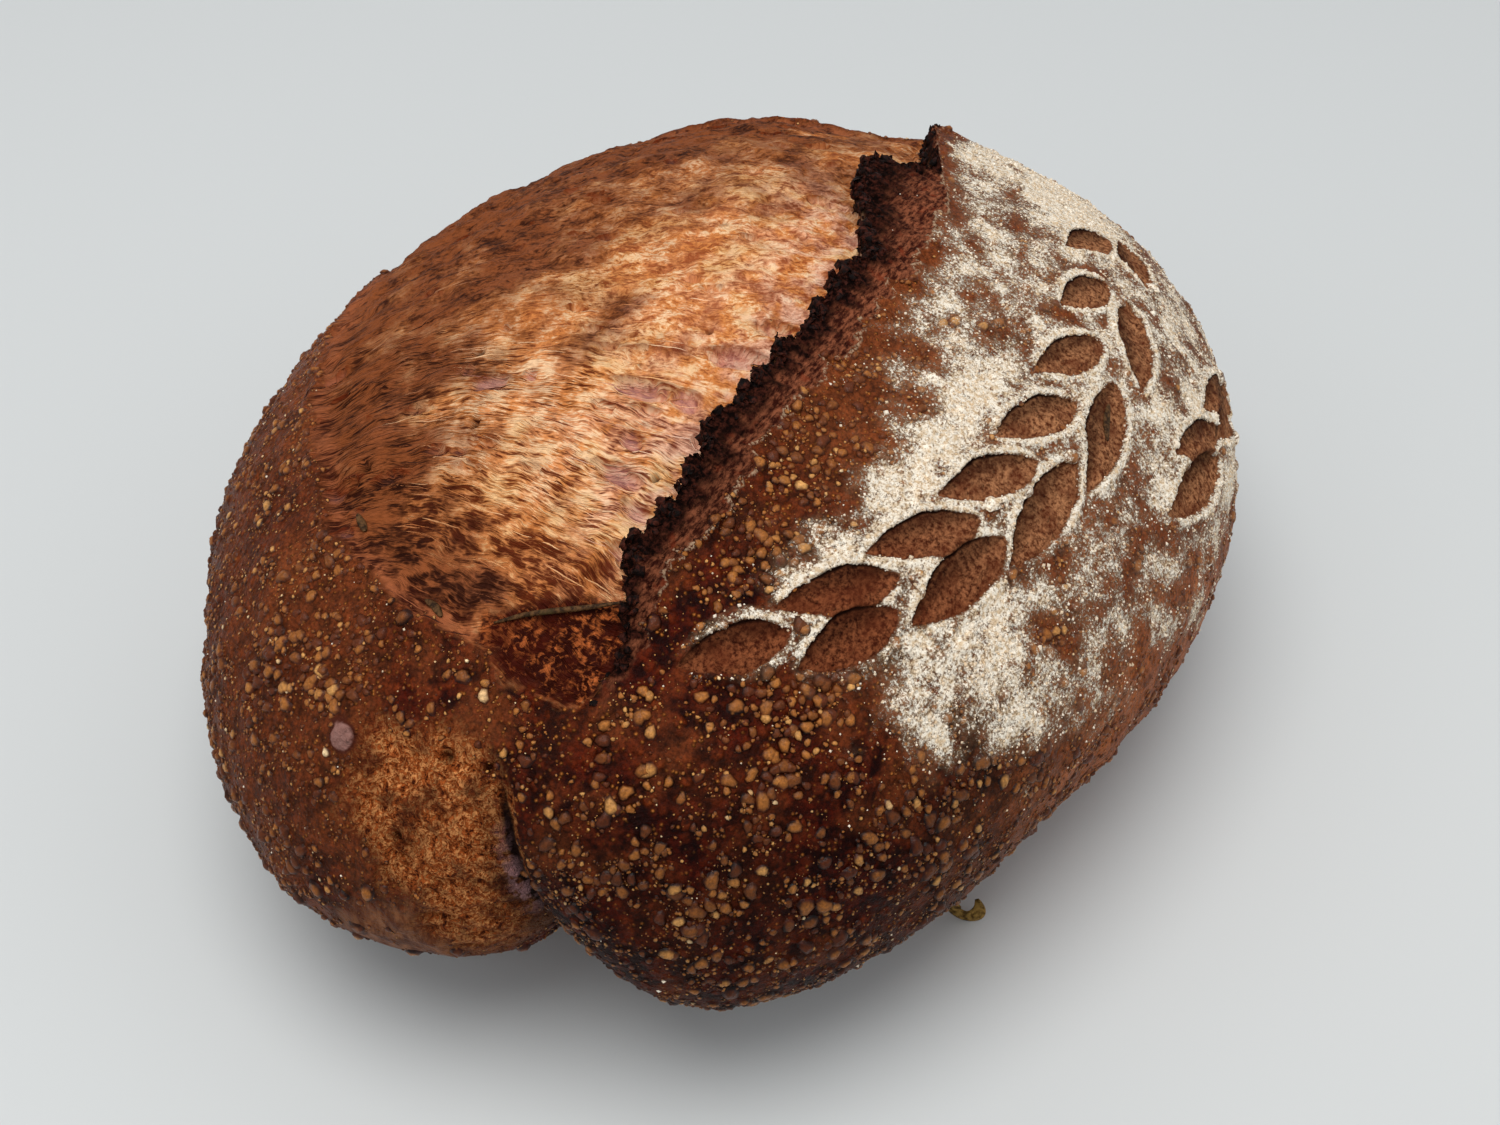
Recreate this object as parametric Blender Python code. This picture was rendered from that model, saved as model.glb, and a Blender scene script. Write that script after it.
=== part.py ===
"""A sourdough loaf: one oval hearth loaf with a torn bloom, a raised ear and wheat cut in its crust.

Run it with: blender --background --python part.py
The scene is in metres with +Z up. The functions that shape the loaf work in millimetres.
X runs along the loaf, from its folded near end (-X) to its far end (+X). The floured, patterned flank
is at -Y, the open bloom at +Y. The loaf rests on its flat sole at z = 0.
"""

import math
from collections import namedtuple

import bmesh
import bpy
import numpy as np

MM = 0.001

# Driving dimensions, in millimetres
LENGTH, WIDTH, HEIGHT = 253.0, 200.0, 110.0
GIRTH_HEIGHT = 46.0  # height of the widest level over the table
UNDERSIDE = 54.0  # how far the round underside would reach below that level, were it not flattened
PLAN_ROUND, SIDE_ROUND = 2.19, 2.13  # superellipse powers of the plan and of the side view; 2 is an ellipse
SOLE_BLEND = 4.0  # half the height over which the underside turns into the flat sole

# Swellings and hollows of the hand-shaped dough: centre, reach in x, y and z, and how far it is pushed out
LOBES = (
    ((-121, 16, 36), (26, 24, 24), 3.2),  # left of the two near lobes
    ((-103, -56, 28), (26, 24, 22), 2.6),  # right near lobe
    ((-40, -94, 30), (34, 24, 26), -4.0),  # slack stretch of the patterned flank
    ((-92, 72, 54), (26, 24, 26), -2.4),  # shoulder beside the left lobe
    ((97, 18, 88), (24, 16, 16), -3.4),  # dip of the bloom behind the ear's far tip
    ((50, -93, 50), (36, 16, 26), 1.6),  # belly under the pattern
    ((0, 86, 80), (42, 24, 22), 1.2),  # fullest part of the bloom
    ((-98, -20, 4), (34, 74, 17), -2.8),  # near end's underside, drawn in above the table
)

MIDDLE_X = 1.0  # the near lobes swell the loaf, so its box is centred once it has moved this far along X

# The fold between the two near lobes
FOLD_TOP, FOLD_FULL = 80.0, 22.0  # heights at which it starts and reaches its full depth
FOLD_DEPTH, FOLD_WIDTH, FOLD_POWER = 18.0, 11.0, 1.2  # a power under 2 makes the crease sharp
FOLD_START_Y, FOLD_RUN_Y = -33.0, 17.0  # its place on the table, and its swing towards +Y at the top
FOLD_FROM_X, FOLD_TO_X = 50.0, 100.0  # distances towards -X over which it deepens

# The left lobe's underside, lifted off the table on its own side of the fold
LIFT_HEIGHT = 11.0
LIFT_CENTRE, LIFT_REACH = (-116, -8, 0), (34, 36, 26)
LIFT_FROM, LIFT_TO = -8.0, 6.0

# The score: the skin's cut edge, the charred flap beside it (the ear) and the bloom that it opened
CUT_NEAR_X, CUT_FAR_X = -99.0, 96.0
CUT_Y, CUT_SWING = -29.5, 28.0  # the cut runs along y = CUT_Y and swings to the middle at its far end
SWING_START_X, SWING_LENGTH = 26.0, 72.0
EAR_IN, EAR_OUT = (-4, 34), (-6, 8)  # where the ear fades in and out, from the cut's near and far ends
FLAP_FAR_X = 52.0
FLAP_LEAST, FLAP_WIDTH, FLAP_EXTRA = 1.2, 5.6, 11.5  # its width: least, along the ear, extra far along
FLAP_GROWN_X, FLAP_WIDENS_X = -58.0, 12.0
FLAP_HEIGHT, FLAP_LEAN = 4.0, 1.8  # how far its free edge stands up, and leans over the bloom
FLAP_CURL = 1.6  # power of its upward curl
SADDLE, SADDLE_BEYOND, SADDLE_REACH = 1.2, 12, (14, 60, 60)  # dip of the ear just beyond the flap's far end
SKIN_RISE, SKIN_RISE_FAR = 0.35, 0.6  # rise of the skin at the cut: share of the height, and extra far along
SKIN_REACH, SKIN_REACH_FAR = 5.0, 7.0  # how far from the cut the skin rises, and how much further far along
WALL = 1.8  # width of the step from the flap's edge down to the bloom
VALLEY_DEPTH, VALLEY_REACH = 2.6, 9.0  # the bloom's hollow along the ear
PEAK_HEIGHT, PEAK_X, FAR_FROM_X = 0.6, 70, 60  # how much higher the cut edge stands at its far tip

# Wheat: stalks as (x, girth angle in degrees) from the far end
STALK = ((84, 50), (54, 52.5), (30, 56.5), (-6, 57.5), (-36, 56), (-62, 52), (-86, 44))
LOW_STALK = ((96, 79), (60, 76), (30, 73), (8, 72))

# Rows of leaves along a stalk: how many, x of the first one's root and the spacing; how far they reach in x,
# with a swell of the reach along the row (its height, start and length in leaves); the girth of root and tip
# over the stalk's, the tip's change from leaf to leaf, and their width
Row = namedtuple("Row", "stalk count first spacing reach swell start span root tip change width")
ROWS = (
    Row(STALK, 8, 75, 20.6, 15, 8, 0.3, 7.6, -1.5, -9.2, 0.55, 8.8),
    Row(STALK, 6, 81, 27, 15, 17, 0, 5.5, 2, 6.2, -0.4, 9.6),
    Row(LOW_STALK, 2, 70, 21, 23, 0, 0, 1, 0, -3.5, 0, 8.0),
    Row(LOW_STALK, 2, 76, 33, 31, 0, 0, 1, 2.5, 0.5, 0, 10.0),
)
LEAF_DEPTH, RIM_HEIGHT, RIM_REACH = 1.7, 0.7, 1.5
RIM_GAP = 0.8  # from the cut's edge to its rim
LEAF_POINT, LEAF_FULL = 0.85, 0.8  # powers of the leaf's outline: towards its root, and of its fullness
LEAF_NEAR = 12.0  # how far above or below its middle a leaf's outline counts

COARSE_LEVEL, REFINEMENTS = 4, 4  # icosphere subdivisions, then rounds of halving long edges
PLAIN_EDGE, FLANK_EDGE, DETAIL_EDGE = 10.5, 4.7, 2.4  # longest edges: crust, wheat and fold, rims and ear
SOLE_TOP = 0.5  # below this the sole is flat and needs no fine mesh
EAR_BAND, FOLD_BAND, RIM_BAND = 2.0, 9.0, 0.9  # half widths of the finer mesh at ear, fold and rims


def smooth(x):
    x = np.clip(x, 0.0, 1.0)
    return x * x * (3 - 2 * x)


def ramp(x, start, end):
    return smooth((x - start) / (end - start))


def hump(p, centre, reach):
    """1 at the centre, fading smoothly to 0 beyond the reach along each axis."""
    return np.exp(-(((p - np.array(centre)) / np.array(reach)) ** 2).sum(1))


def body(d):
    """Points of the plain loaf, a superellipsoid, in the directions d, and its outward normals."""
    half = np.stack([np.full(len(d), LENGTH / 2), np.full(len(d), WIDTH / 2),
                     np.where(d[:, 2] > 0, HEIGHT - GIRTH_HEIGHT, UNDERSIDE)], 1)
    part = np.abs(d) / half + 1e-9
    plan = (part[:, 0] ** PLAN_ROUND + part[:, 1] ** PLAN_ROUND) ** (1 / PLAN_ROUND)
    radius = (plan ** SIDE_ROUND + part[:, 2] ** SIDE_ROUND) ** (-1 / SIDE_ROUND)
    flat = plan ** (SIDE_ROUND - PLAN_ROUND)
    grad = np.stack([flat * part[:, 0] ** (PLAN_ROUND - 1), flat * part[:, 1] ** (PLAN_ROUND - 1),
                     part[:, 2] ** (SIDE_ROUND - 1)], 1) * np.sign(d) / half
    normal = grad / np.linalg.norm(grad, axis=1, keepdims=True)
    return d * radius[:, None] + (0, 0, GIRTH_HEIGHT), normal


def on_skin(x, girth):
    """Points of the plain loaf at x, girth degrees round from its top towards -Y, and the normals there."""
    x, turn = np.broadcast_arrays(np.asarray(x, float), np.radians(girth))
    tilt = x / LENGTH
    for _ in range(30):
        d = np.stack([np.sin(tilt), -np.cos(tilt) * np.sin(turn), np.cos(tilt) * np.cos(turn)], -1)
        d = d.reshape(-1, 3)
        point, normal = body(d)
        radius = np.linalg.norm(point - (0, 0, GIRTH_HEIGHT), axis=1)
        tilt = np.arcsin(np.clip(x.reshape(-1) / radius, -1, 1)).reshape(x.shape)
    return point, normal


def along(stalk, x):
    """The stalk's girth angle at x, on a smooth curve through its points."""
    xs, girths = np.array(sorted(stalk), float).T
    fine = np.linspace(xs[0], xs[-1], 80)
    rough = np.interp(fine, xs, girths)
    soft = np.convolve(np.pad(rough, 6, mode="edge"), np.ones(13) / 13, mode="valid")
    return np.interp(x, fine, soft)


def cut_line(x):
    return CUT_Y + CUT_SWING * ramp(x, SWING_START_X, SWING_START_X + SWING_LENGTH)


def flap_width(x):
    """The flap's width, from the cut to its free edge."""
    widening = ramp(x, FLAP_WIDENS_X, FLAP_FAR_X - 6)
    grow = ramp(x, CUT_NEAR_X, FLAP_GROWN_X) * FLAP_WIDTH + widening * FLAP_EXTRA
    return FLAP_LEAST + grow * (1 - ramp(x, FLAP_FAR_X - 4, FLAP_FAR_X + 10))


def ear(p):
    """How far the score's flap, wall and valley move points of the plain loaf: up, and over the bloom."""
    x, y = p[:, 0], p[:, 1]
    open_near = ramp(x, CUT_NEAR_X + EAR_IN[0], CUT_NEAR_X + EAR_IN[1])
    open_far = 1 - ramp(x, CUT_FAR_X + EAR_OUT[0], CUT_FAR_X + EAR_OUT[1])
    strength = open_near * open_far * (p[:, 2] > GIRTH_HEIGHT)
    width = flap_width(x)
    past = y - cut_line(x) - width  # distance over the flap's free edge, on to the bloom
    curl = np.clip(1 + past / width, 0, 1)
    saddle = SADDLE * hump(p, (FLAP_FAR_X + SADDLE_BEYOND, 0, HEIGHT), SADDLE_REACH)
    height = FLAP_HEIGHT + PEAK_HEIGHT * ramp(x, PEAK_X, CUT_FAR_X) - saddle
    far = ramp(x, FAR_FROM_X, CUT_FAR_X)
    share = SKIN_RISE + SKIN_RISE_FAR * far
    skin_reach = SKIN_REACH + SKIN_REACH_FAR * far
    skin = share * np.exp(-(np.clip(-past - width, 0, None) / skin_reach) ** 1.5)
    flap = height * np.where(past < -width, skin, share + (1 - share) * curl ** FLAP_CURL)
    valley = -VALLEY_DEPTH * np.exp(-np.clip(past - WALL, 0, None) / VALLEY_REACH)
    drop = ramp(past, 0, WALL)
    lift = flap * (1 - drop) + valley * drop
    lean = FLAP_LEAN * np.where(past < 0, curl ** 2, 1 - ramp(past, 0, WALL))
    return lift * strength, lean * strength * (width > 2 * FLAP_LEAST)


def fold_offset(p):
    """Distance in y from the fold between the near lobes."""
    return p[:, 1] - FOLD_START_Y - FOLD_RUN_Y * (np.clip(p[:, 2], 0, FOLD_TOP) / FOLD_TOP) ** 3


def fold(p):
    """Depth of the fold between the near lobes."""
    depth = FOLD_DEPTH * ramp(-p[:, 2], -FOLD_TOP, -FOLD_FULL) * ramp(-p[:, 0], FOLD_FROM_X, FOLD_TO_X)
    return depth * np.exp(-(np.abs(fold_offset(p)) / FOLD_WIDTH) ** FOLD_POWER)


def leaves():
    """The leaf cuts, each as (root, tip, normal, width) on the plain loaf."""
    cuts = []
    for row in ROWS:
        for i in range(row.count):
            x = row.first - row.spacing * i
            tip = x - row.reach - row.swell * math.sin(math.pi * (i + row.start) / row.span)
            girths = along(row.stalk, x) + row.root, along(row.stalk, tip) + row.tip + row.change * i
            ends, normals = on_skin((x, tip), girths)
            normal = normals.mean(0)
            cuts.append((ends[0], ends[1], normal / np.linalg.norm(normal), row.width))
    return cuts


LEAVES = leaves()


def leaf_frame(p, cut):
    """Each point's place on a leaf: share of its length, offset across it, and the half width there."""
    root, tip, normal, width = cut
    length = np.linalg.norm(tip - root)
    axis = (tip - root) / length
    side = np.cross(normal, axis)
    share = (p - root) @ axis / length
    inside = np.clip(share, 0, 1)
    half = width / 2 * np.sin(math.pi * inside ** LEAF_POINT) ** LEAF_FULL
    near = np.abs((p - (root + tip) / 2) @ normal) < LEAF_NEAR
    return share, (p - root) @ side, half, near


def wheat(p):
    """Height of the cut pattern: leaves sink, deepest along their upper rim, and their rims stand up."""
    height = np.zeros(len(p))
    for cut in LEAVES:
        share, across, half, near = leaf_frame(p, cut)
        within = (share > 0) & (share < 1) & near & (half > 0.3)
        over = np.clip((across + half) / (2 * np.maximum(half, 0.3)), 0, 1)  # upper rim to lower
        along_leaf = np.sin(math.pi * np.clip(share, 0, 1)) ** 0.5
        floor = -LEAF_DEPTH * ramp(over, 0, 0.22) * (1 - 0.8 * over) * along_leaf
        rim = RIM_HEIGHT * np.exp(-((np.abs(across) - half - RIM_GAP) / RIM_REACH) ** 2)
        rim = rim * ramp(share, -0.12, 0.1) * ramp(-share, -1.12, -0.9) * near
        sunk = within & (over > 0) & (over < 1)
        height = np.where(sunk, np.minimum(height, floor), np.maximum(height, rim * (height >= 0)))
    return height


def surface(d):
    """Points of the finished loaf in the directions d, in millimetres."""
    plain, normal = body(d)
    push = sum(size * hump(plain, centre, reach) for centre, reach, size in LOBES) - fold(plain)
    lift, lean = ear(plain)
    p = plain + normal * (push + lift + wheat(plain))[:, None]
    p[:, 1] += lean
    lifted = hump(plain, LIFT_CENTRE, LIFT_REACH) * ramp(fold_offset(plain), LIFT_FROM, LIFT_TO)
    p[:, 2] += LIFT_HEIGHT * lifted
    z = p[:, 2]
    p[:, 0] += MIDDLE_X
    p[:, 2] = np.where(z < SOLE_BLEND, np.clip(z + SOLE_BLEND, 0, None) ** 2 / (4 * SOLE_BLEND), z)
    return p


def longest_edge(p):
    """The mesh's longest edge allowed at points of the finished loaf."""
    x, z = p[:, 0], p[:, 2]
    over_edge = p[:, 1] - cut_line(x) - flap_width(x) - FLAP_LEAN / 2
    at_ear = (abs(over_edge) < EAR_BAND) & (z > 80) & (x > CUT_NEAR_X - 5) & (x < CUT_FAR_X + 8)
    at_rim, at_leaf = np.zeros(len(p), bool), np.zeros(len(p), bool)
    for cut in LEAVES:
        share, across, half, near = leaf_frame(p, cut)
        at_leaf |= near & (share > -0.1) & (share < 1.1) & (abs(across) < half + 1)
        at_rim |= near & (share > -0.02) & (share < 1.02) & (abs(across + half) < RIM_BAND)
    at_fold = (abs(fold_offset(p)) < FOLD_BAND) & (x < -92) & (z < FOLD_TOP) & (z > SOLE_TOP)
    plain = np.where(z < SOLE_TOP, LENGTH, PLAIN_EDGE)
    return np.where(at_ear | at_rim, DETAIL_EDGE, np.where(at_leaf | at_fold, FLANK_EDGE, plain))


def make_loaf(collection):
    """A sphere shaped into the loaf, with a finer mesh where the crust has detail."""
    bm = bmesh.new()
    bmesh.ops.create_icosphere(bm, subdivisions=COARSE_LEVEL, radius=1.0)
    aim = bm.verts.layers.float_vector.new("direction")
    for vert in bm.verts:
        vert[aim] = vert.co
    for rounds_left in range(REFINEMENTS, -1, -1):
        d = np.array([vert[aim] for vert in bm.verts])
        d /= np.linalg.norm(d, axis=1, keepdims=True)
        for vert, place in zip(bm.verts, surface(d)):
            vert.co = place
        if not rounds_left:
            break
        ends = np.array([[v.co for v in e.verts] for e in bm.edges])
        allowed = np.min([longest_edge(p) for p in (ends[:, 0], ends[:, 1], ends.mean(1))], axis=0)
        long = [e for e, most in zip(bm.edges, allowed) if e.calc_length() > most]
        bmesh.ops.subdivide_edges(bm, edges=long, cuts=1, use_grid_fill=True)
        bmesh.ops.triangulate(bm, faces=[f for f in bm.faces if len(f.verts) > 3])
    bmesh.ops.scale(bm, vec=(MM, MM, MM), verts=bm.verts)
    bmesh.ops.recalc_face_normals(bm, faces=bm.faces)
    mesh = bpy.data.meshes.new("loaf")
    bm.to_mesh(mesh)
    bm.free()
    mesh.attributes.remove(mesh.attributes["direction"])
    mesh.shade_smooth()
    loaf = bpy.data.objects.new("loaf", mesh)
    collection.objects.link(loaf)
    return loaf


def crust_material():
    material = bpy.data.materials.new("crust")
    material.use_nodes = True
    shader = material.node_tree.nodes["Principled BSDF"]
    shader.inputs["Base Color"].default_value = (0.16, 0.06, 0.025, 1)
    shader.inputs["Roughness"].default_value = 0.6
    shader.inputs["Metallic"].default_value = 0.0
    return material


def main():
    for thing in list(bpy.data.objects):
        bpy.data.objects.remove(thing)
    collection = bpy.data.collections.new("sourdough_loaf")
    bpy.context.scene.collection.children.link(collection)
    loaf = make_loaf(collection)
    loaf.data.materials.append(crust_material())


main()
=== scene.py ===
"""The looks of the sourdough loaf: its finely shaped crust and crumb, blisters, strands, flour and herbs.

Lengths are in millimetres until a mesh is made, which is in metres. The functions that shape the plain loaf
are those of the CAD part, so that the visible loaf lies on it. The finer shapes are added along its normals.
"""
import functools
import math

import bmesh
import bpy
import numpy as np
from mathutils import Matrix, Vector
from mathutils.bvhtree import BVHTree


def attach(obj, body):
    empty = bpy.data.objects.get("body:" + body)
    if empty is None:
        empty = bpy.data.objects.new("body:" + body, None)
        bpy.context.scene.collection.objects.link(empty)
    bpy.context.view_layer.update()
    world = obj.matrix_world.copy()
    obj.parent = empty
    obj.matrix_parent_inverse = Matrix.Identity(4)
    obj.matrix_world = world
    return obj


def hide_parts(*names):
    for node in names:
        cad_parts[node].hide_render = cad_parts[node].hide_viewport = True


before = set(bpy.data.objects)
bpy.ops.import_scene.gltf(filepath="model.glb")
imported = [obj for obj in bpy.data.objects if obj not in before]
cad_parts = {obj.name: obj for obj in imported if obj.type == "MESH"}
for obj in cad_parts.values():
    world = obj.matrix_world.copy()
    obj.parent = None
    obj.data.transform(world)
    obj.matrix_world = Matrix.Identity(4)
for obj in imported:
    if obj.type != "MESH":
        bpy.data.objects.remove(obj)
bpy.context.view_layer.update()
MM = 0.001

# The plain loaf, as in the CAD part
LENGTH, WIDTH, HEIGHT = 253.0, 200.0, 110.0
GIRTH_HEIGHT, UNDERSIDE = 46.0, 54.0
PLAN_ROUND, SIDE_ROUND = 2.19, 2.13
SOLE_BLEND = 4.0
LOBES = (
    ((-121, 16, 36), (26, 24, 24), 3.2),
    ((-103, -56, 28), (26, 24, 22), 2.6),
    ((-40, -94, 30), (34, 24, 26), -4.0),
    ((-92, 72, 54), (26, 24, 26), -2.4),
    ((97, 18, 88), (24, 16, 16), -3.4),
    ((50, -93, 50), (36, 16, 26), 1.6),
    ((0, 86, 80), (42, 24, 22), 1.2),
    ((-98, -20, 4), (34, 74, 17), -2.8),
)
MIDDLE_X = 1.0
FOLD_TOP, FOLD_FULL = 80.0, 22.0
FOLD_DEPTH, FOLD_WIDTH = 18.0, 11.0
FOLD_START_Y, FOLD_RUN_Y = -33.0, 17.0
LIFT_HEIGHT = 11.0
CUT_NEAR_X, CUT_FAR_X = -99.0, 96.0
CUT_Y, CUT_SWING = -29.5, 28.0
SWING_START_X, SWING_LENGTH = 26.0, 72.0
FLAP_FAR_X = 52.0
FLAP_WIDTH, FLAP_EXTRA = 5.6, 11.5
FLAP_HEIGHT, FLAP_LEAN = 4.0, 1.8
WALL = 1.8
VALLEY_DEPTH, VALLEY_REACH = 2.6, 9.0
PEAK_HEIGHT = 0.6
STALK = ((84, 50), (54, 52.5), (30, 56.5), (-6, 57.5), (-36, 56), (-62, 52), (-86, 44))
LOW_STALK = ((96, 79), (60, 76), (30, 73), (8, 72))
LEAF_DEPTH, RIM_HEIGHT, RIM_REACH = 1.7, 0.7, 1.3
# Rows of leaves: stalk, count, x of the first root, spacing, reach, the reach's swell along the row with its
# start and span, girth of root and of tip over the stalk's, the tip's change from leaf to leaf, width
ROWS = (
    (STALK, 8, 75, 20.6, 15, 8, 0.3, 7.6, -1.5, -9.2, 0.55, 8.8),
    (STALK, 6, 81, 27, 15, 17, 0, 5.5, 2, 6.2, -0.4, 9.6),
    (LOW_STALK, 2, 70, 21, 23, 0, 0, 1, 0, -3.5, 0, 8.0),
    (LOW_STALK, 2, 76, 33, 31, 0, 0, 1, 2.5, 0.5, 0, 10.0),
)

# Places on the crust are given as (x, girth). Girth is the angle round from the loaf's top towards -Y, in
# degrees.
DEGREE = 1.3  # millimetres round the girth for each degree of it
BLOOM_EDGE = (
    (-100, 34), (-100, 20), (-98, 10), (-97, -3), (-95, -19), (-91, -33), (-87, -40), (-77, -46), (-62, -54),
    (-26, -66), (10, -74), (45, -74), (72, -66), (88, -48), (98, -20), (101, 4), (90, 40),
)
FLOUR_EDGE = (
    (104, 50), (101, 6), (84, 8), (62, 16), (33, 24), (10, 30), (-10, 33), (-30, 38), (-50, 39),
    (-64, 43), (-70, 52), (-70, 68), (-58, 78), (-36, 83), (-10, 88), (30, 92), (70, 90), (98, 72),
)
TONGUE_EDGE = ((-92, 1), (-101, 6), (-107, 20), (-109, 42), (-94, 44), (-77, 29))  # the bloom's dark near tip
EAR_SIDE_LEAVES = 8
CREASE_DEPTH, CREASE_WIDTH = 1.4, 1.5


# Shapes of numbers

def smooth(x):
    x = np.clip(x, 0.0, 1.0)
    return x * x * (3 - 2 * x)


def ramp(x, start, end):
    """0 at the start, 1 at the end, smooth between."""
    return smooth((x - start) / (end - start))


def hump(p, centre, reach):
    """1 at the centre, fading smoothly to 0 beyond the reach along each axis."""
    return np.exp(-(((p - np.array(centre)) / np.array(reach)) ** 2).sum(1))


TABLE = np.random.default_rng(3).permutation(256)
SLOPES = np.random.default_rng(4).normal(size=(256, 3))
SLOPES /= np.linalg.norm(SLOPES, axis=1, keepdims=True)


def noise(p, size, seed=0):
    """Smooth random numbers of about -1 to 1, whose lumps at points p are about size wide."""
    q = np.asarray(p) / size + seed * np.array((17.13, 31.71, 11.37))
    cell = np.floor(q).astype(int)
    part = q - cell
    fade = part ** 3 * (part * (part * 6 - 15) + 10)
    total = np.zeros(len(q))
    for corner in np.ndindex(2, 2, 2):
        key = np.zeros(len(q), int)
        for axis in range(3):
            key = TABLE[(key + cell[:, axis] + corner[axis]) & 255]
        weight = np.prod(np.where(corner, fade, 1 - fade), 1)
        total += weight * (SLOPES[key] * (part - corner)).sum(1)
    return total * 1.7


def rough(p, size, seed=0, octaves=3):
    """Noise with finer and fainter noise on top."""
    return sum(noise(p, size / 2 ** i, seed + i) / 2 ** i for i in range(octaves))


def on_line(values):
    """Points for noise that changes along one line only."""
    return np.stack([values, np.zeros(len(values)), np.zeros(len(values))], 1)


# The plain loaf

def body(d):
    """Points of the plain loaf, a superellipsoid, in the directions d, and its outward normals."""
    half = np.stack([np.full(len(d), LENGTH / 2), np.full(len(d), WIDTH / 2),
                     np.where(d[:, 2] > 0, HEIGHT - GIRTH_HEIGHT, UNDERSIDE)], 1)
    part = np.abs(d) / half + 1e-9
    plan = (part[:, 0] ** PLAN_ROUND + part[:, 1] ** PLAN_ROUND) ** (1 / PLAN_ROUND)
    radius = (plan ** SIDE_ROUND + part[:, 2] ** SIDE_ROUND) ** (-1 / SIDE_ROUND)
    flat = plan ** (SIDE_ROUND - PLAN_ROUND)
    grad = np.stack([flat * part[:, 0] ** (PLAN_ROUND - 1), flat * part[:, 1] ** (PLAN_ROUND - 1),
                     part[:, 2] ** (SIDE_ROUND - 1)], 1) * np.sign(d) / half
    normal = grad / np.linalg.norm(grad, axis=1, keepdims=True)
    return d * radius[:, None] + (0, 0, GIRTH_HEIGHT), normal


def on_skin(x, girth):
    """Points of the plain loaf at x, girth degrees round from its top towards -Y, and the normals there."""
    x, turn = np.broadcast_arrays(np.asarray(x, float), np.radians(girth))
    tilt = x / LENGTH
    for _ in range(30):
        d = np.stack([np.sin(tilt), -np.cos(tilt) * np.sin(turn), np.cos(tilt) * np.cos(turn)], -1)
        d = d.reshape(-1, 3)
        point, normal = body(d)
        radius = np.linalg.norm(point - (0, 0, GIRTH_HEIGHT), axis=1)
        tilt = np.arcsin(np.clip(x.reshape(-1) / radius, -1, 1)).reshape(x.shape)
    return point, normal


def girth_of(p):
    return np.degrees(np.arctan2(-p[:, 1], p[:, 2] - GIRTH_HEIGHT))


def inside(p, outline):
    """Distance of points on the plain loaf from an outline of (x, girth) corners, above 0 inside it."""
    here = np.stack([p[:, 0], girth_of(p) * DEGREE], 1)
    corners = np.array(outline, float) * (1, DEGREE)
    nearest = np.full(len(p), np.inf)
    crossings = np.zeros(len(p), bool)
    for a, b in zip(corners, np.roll(corners, -1, axis=0)):
        edge = b - a
        share = np.clip((here - a) @ edge / (edge @ edge), 0, 1)
        nearest = np.minimum(nearest, np.linalg.norm(here - a - share[:, None] * edge, axis=1))
        between = (a[1] > here[:, 1]) != (b[1] > here[:, 1])
        crossings ^= between & (here[:, 0] < a[0] + (here[:, 1] - a[1]) * edge[0] / (edge[1] or 1e-9))
    return np.where(crossings, nearest, -nearest)


def along(stalk, x):
    """The stalk's girth angle at x, on a smooth curve through its points."""
    xs, girths = np.array(sorted(stalk), float).T
    fine = np.linspace(xs[0], xs[-1], 80)
    soft = np.convolve(np.pad(np.interp(fine, xs, girths), 6, mode="edge"), np.ones(13) / 13, mode="valid")
    return np.interp(x, fine, soft)


# The score: cut, flap and valley

def cut_line(x):
    return CUT_Y + CUT_SWING * ramp(x, SWING_START_X, SWING_START_X + SWING_LENGTH)


def flap_width(x):
    grow = ramp(x, CUT_NEAR_X, -58) * FLAP_WIDTH + FLAP_EXTRA * ramp(x, 12, FLAP_FAR_X - 6)
    return 1.2 + grow * (1 - ramp(x, FLAP_FAR_X - 4, FLAP_FAR_X + 10))


def flap_strength(p):
    x = p[:, 0]
    near = ramp(x, CUT_NEAR_X - 4, CUT_NEAR_X + 34)
    return near * (1 - ramp(x, CUT_FAR_X - 6, CUT_FAR_X + 8)) * (p[:, 2] > GIRTH_HEIGHT)


def past_flap(p):
    """Distance from the flap's ragged free edge, above 0 on the bloom."""
    x = p[:, 0]
    line = on_line(x + 0.25 * p[:, 1]) + (0, 0, 0.5)
    teeth = 2.2 * noise(line, 8.5, 1) + 1.9 * noise(line, 3.6, 2) + 1.1 * noise(line, 1.7, 3)
    teeth += 0.9 * noise(p, 2.6, 7)
    steps = np.clip(teeth * 1.35, -2.6, 2.4)
    calm = 0.3 + 0.7 * ramp(x, -97, -80) * (1 - ramp(x, FLAP_FAR_X - 10, FLAP_FAR_X + 4))
    return p[:, 1] - cut_line(x) - flap_width(x) + steps * calm


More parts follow.
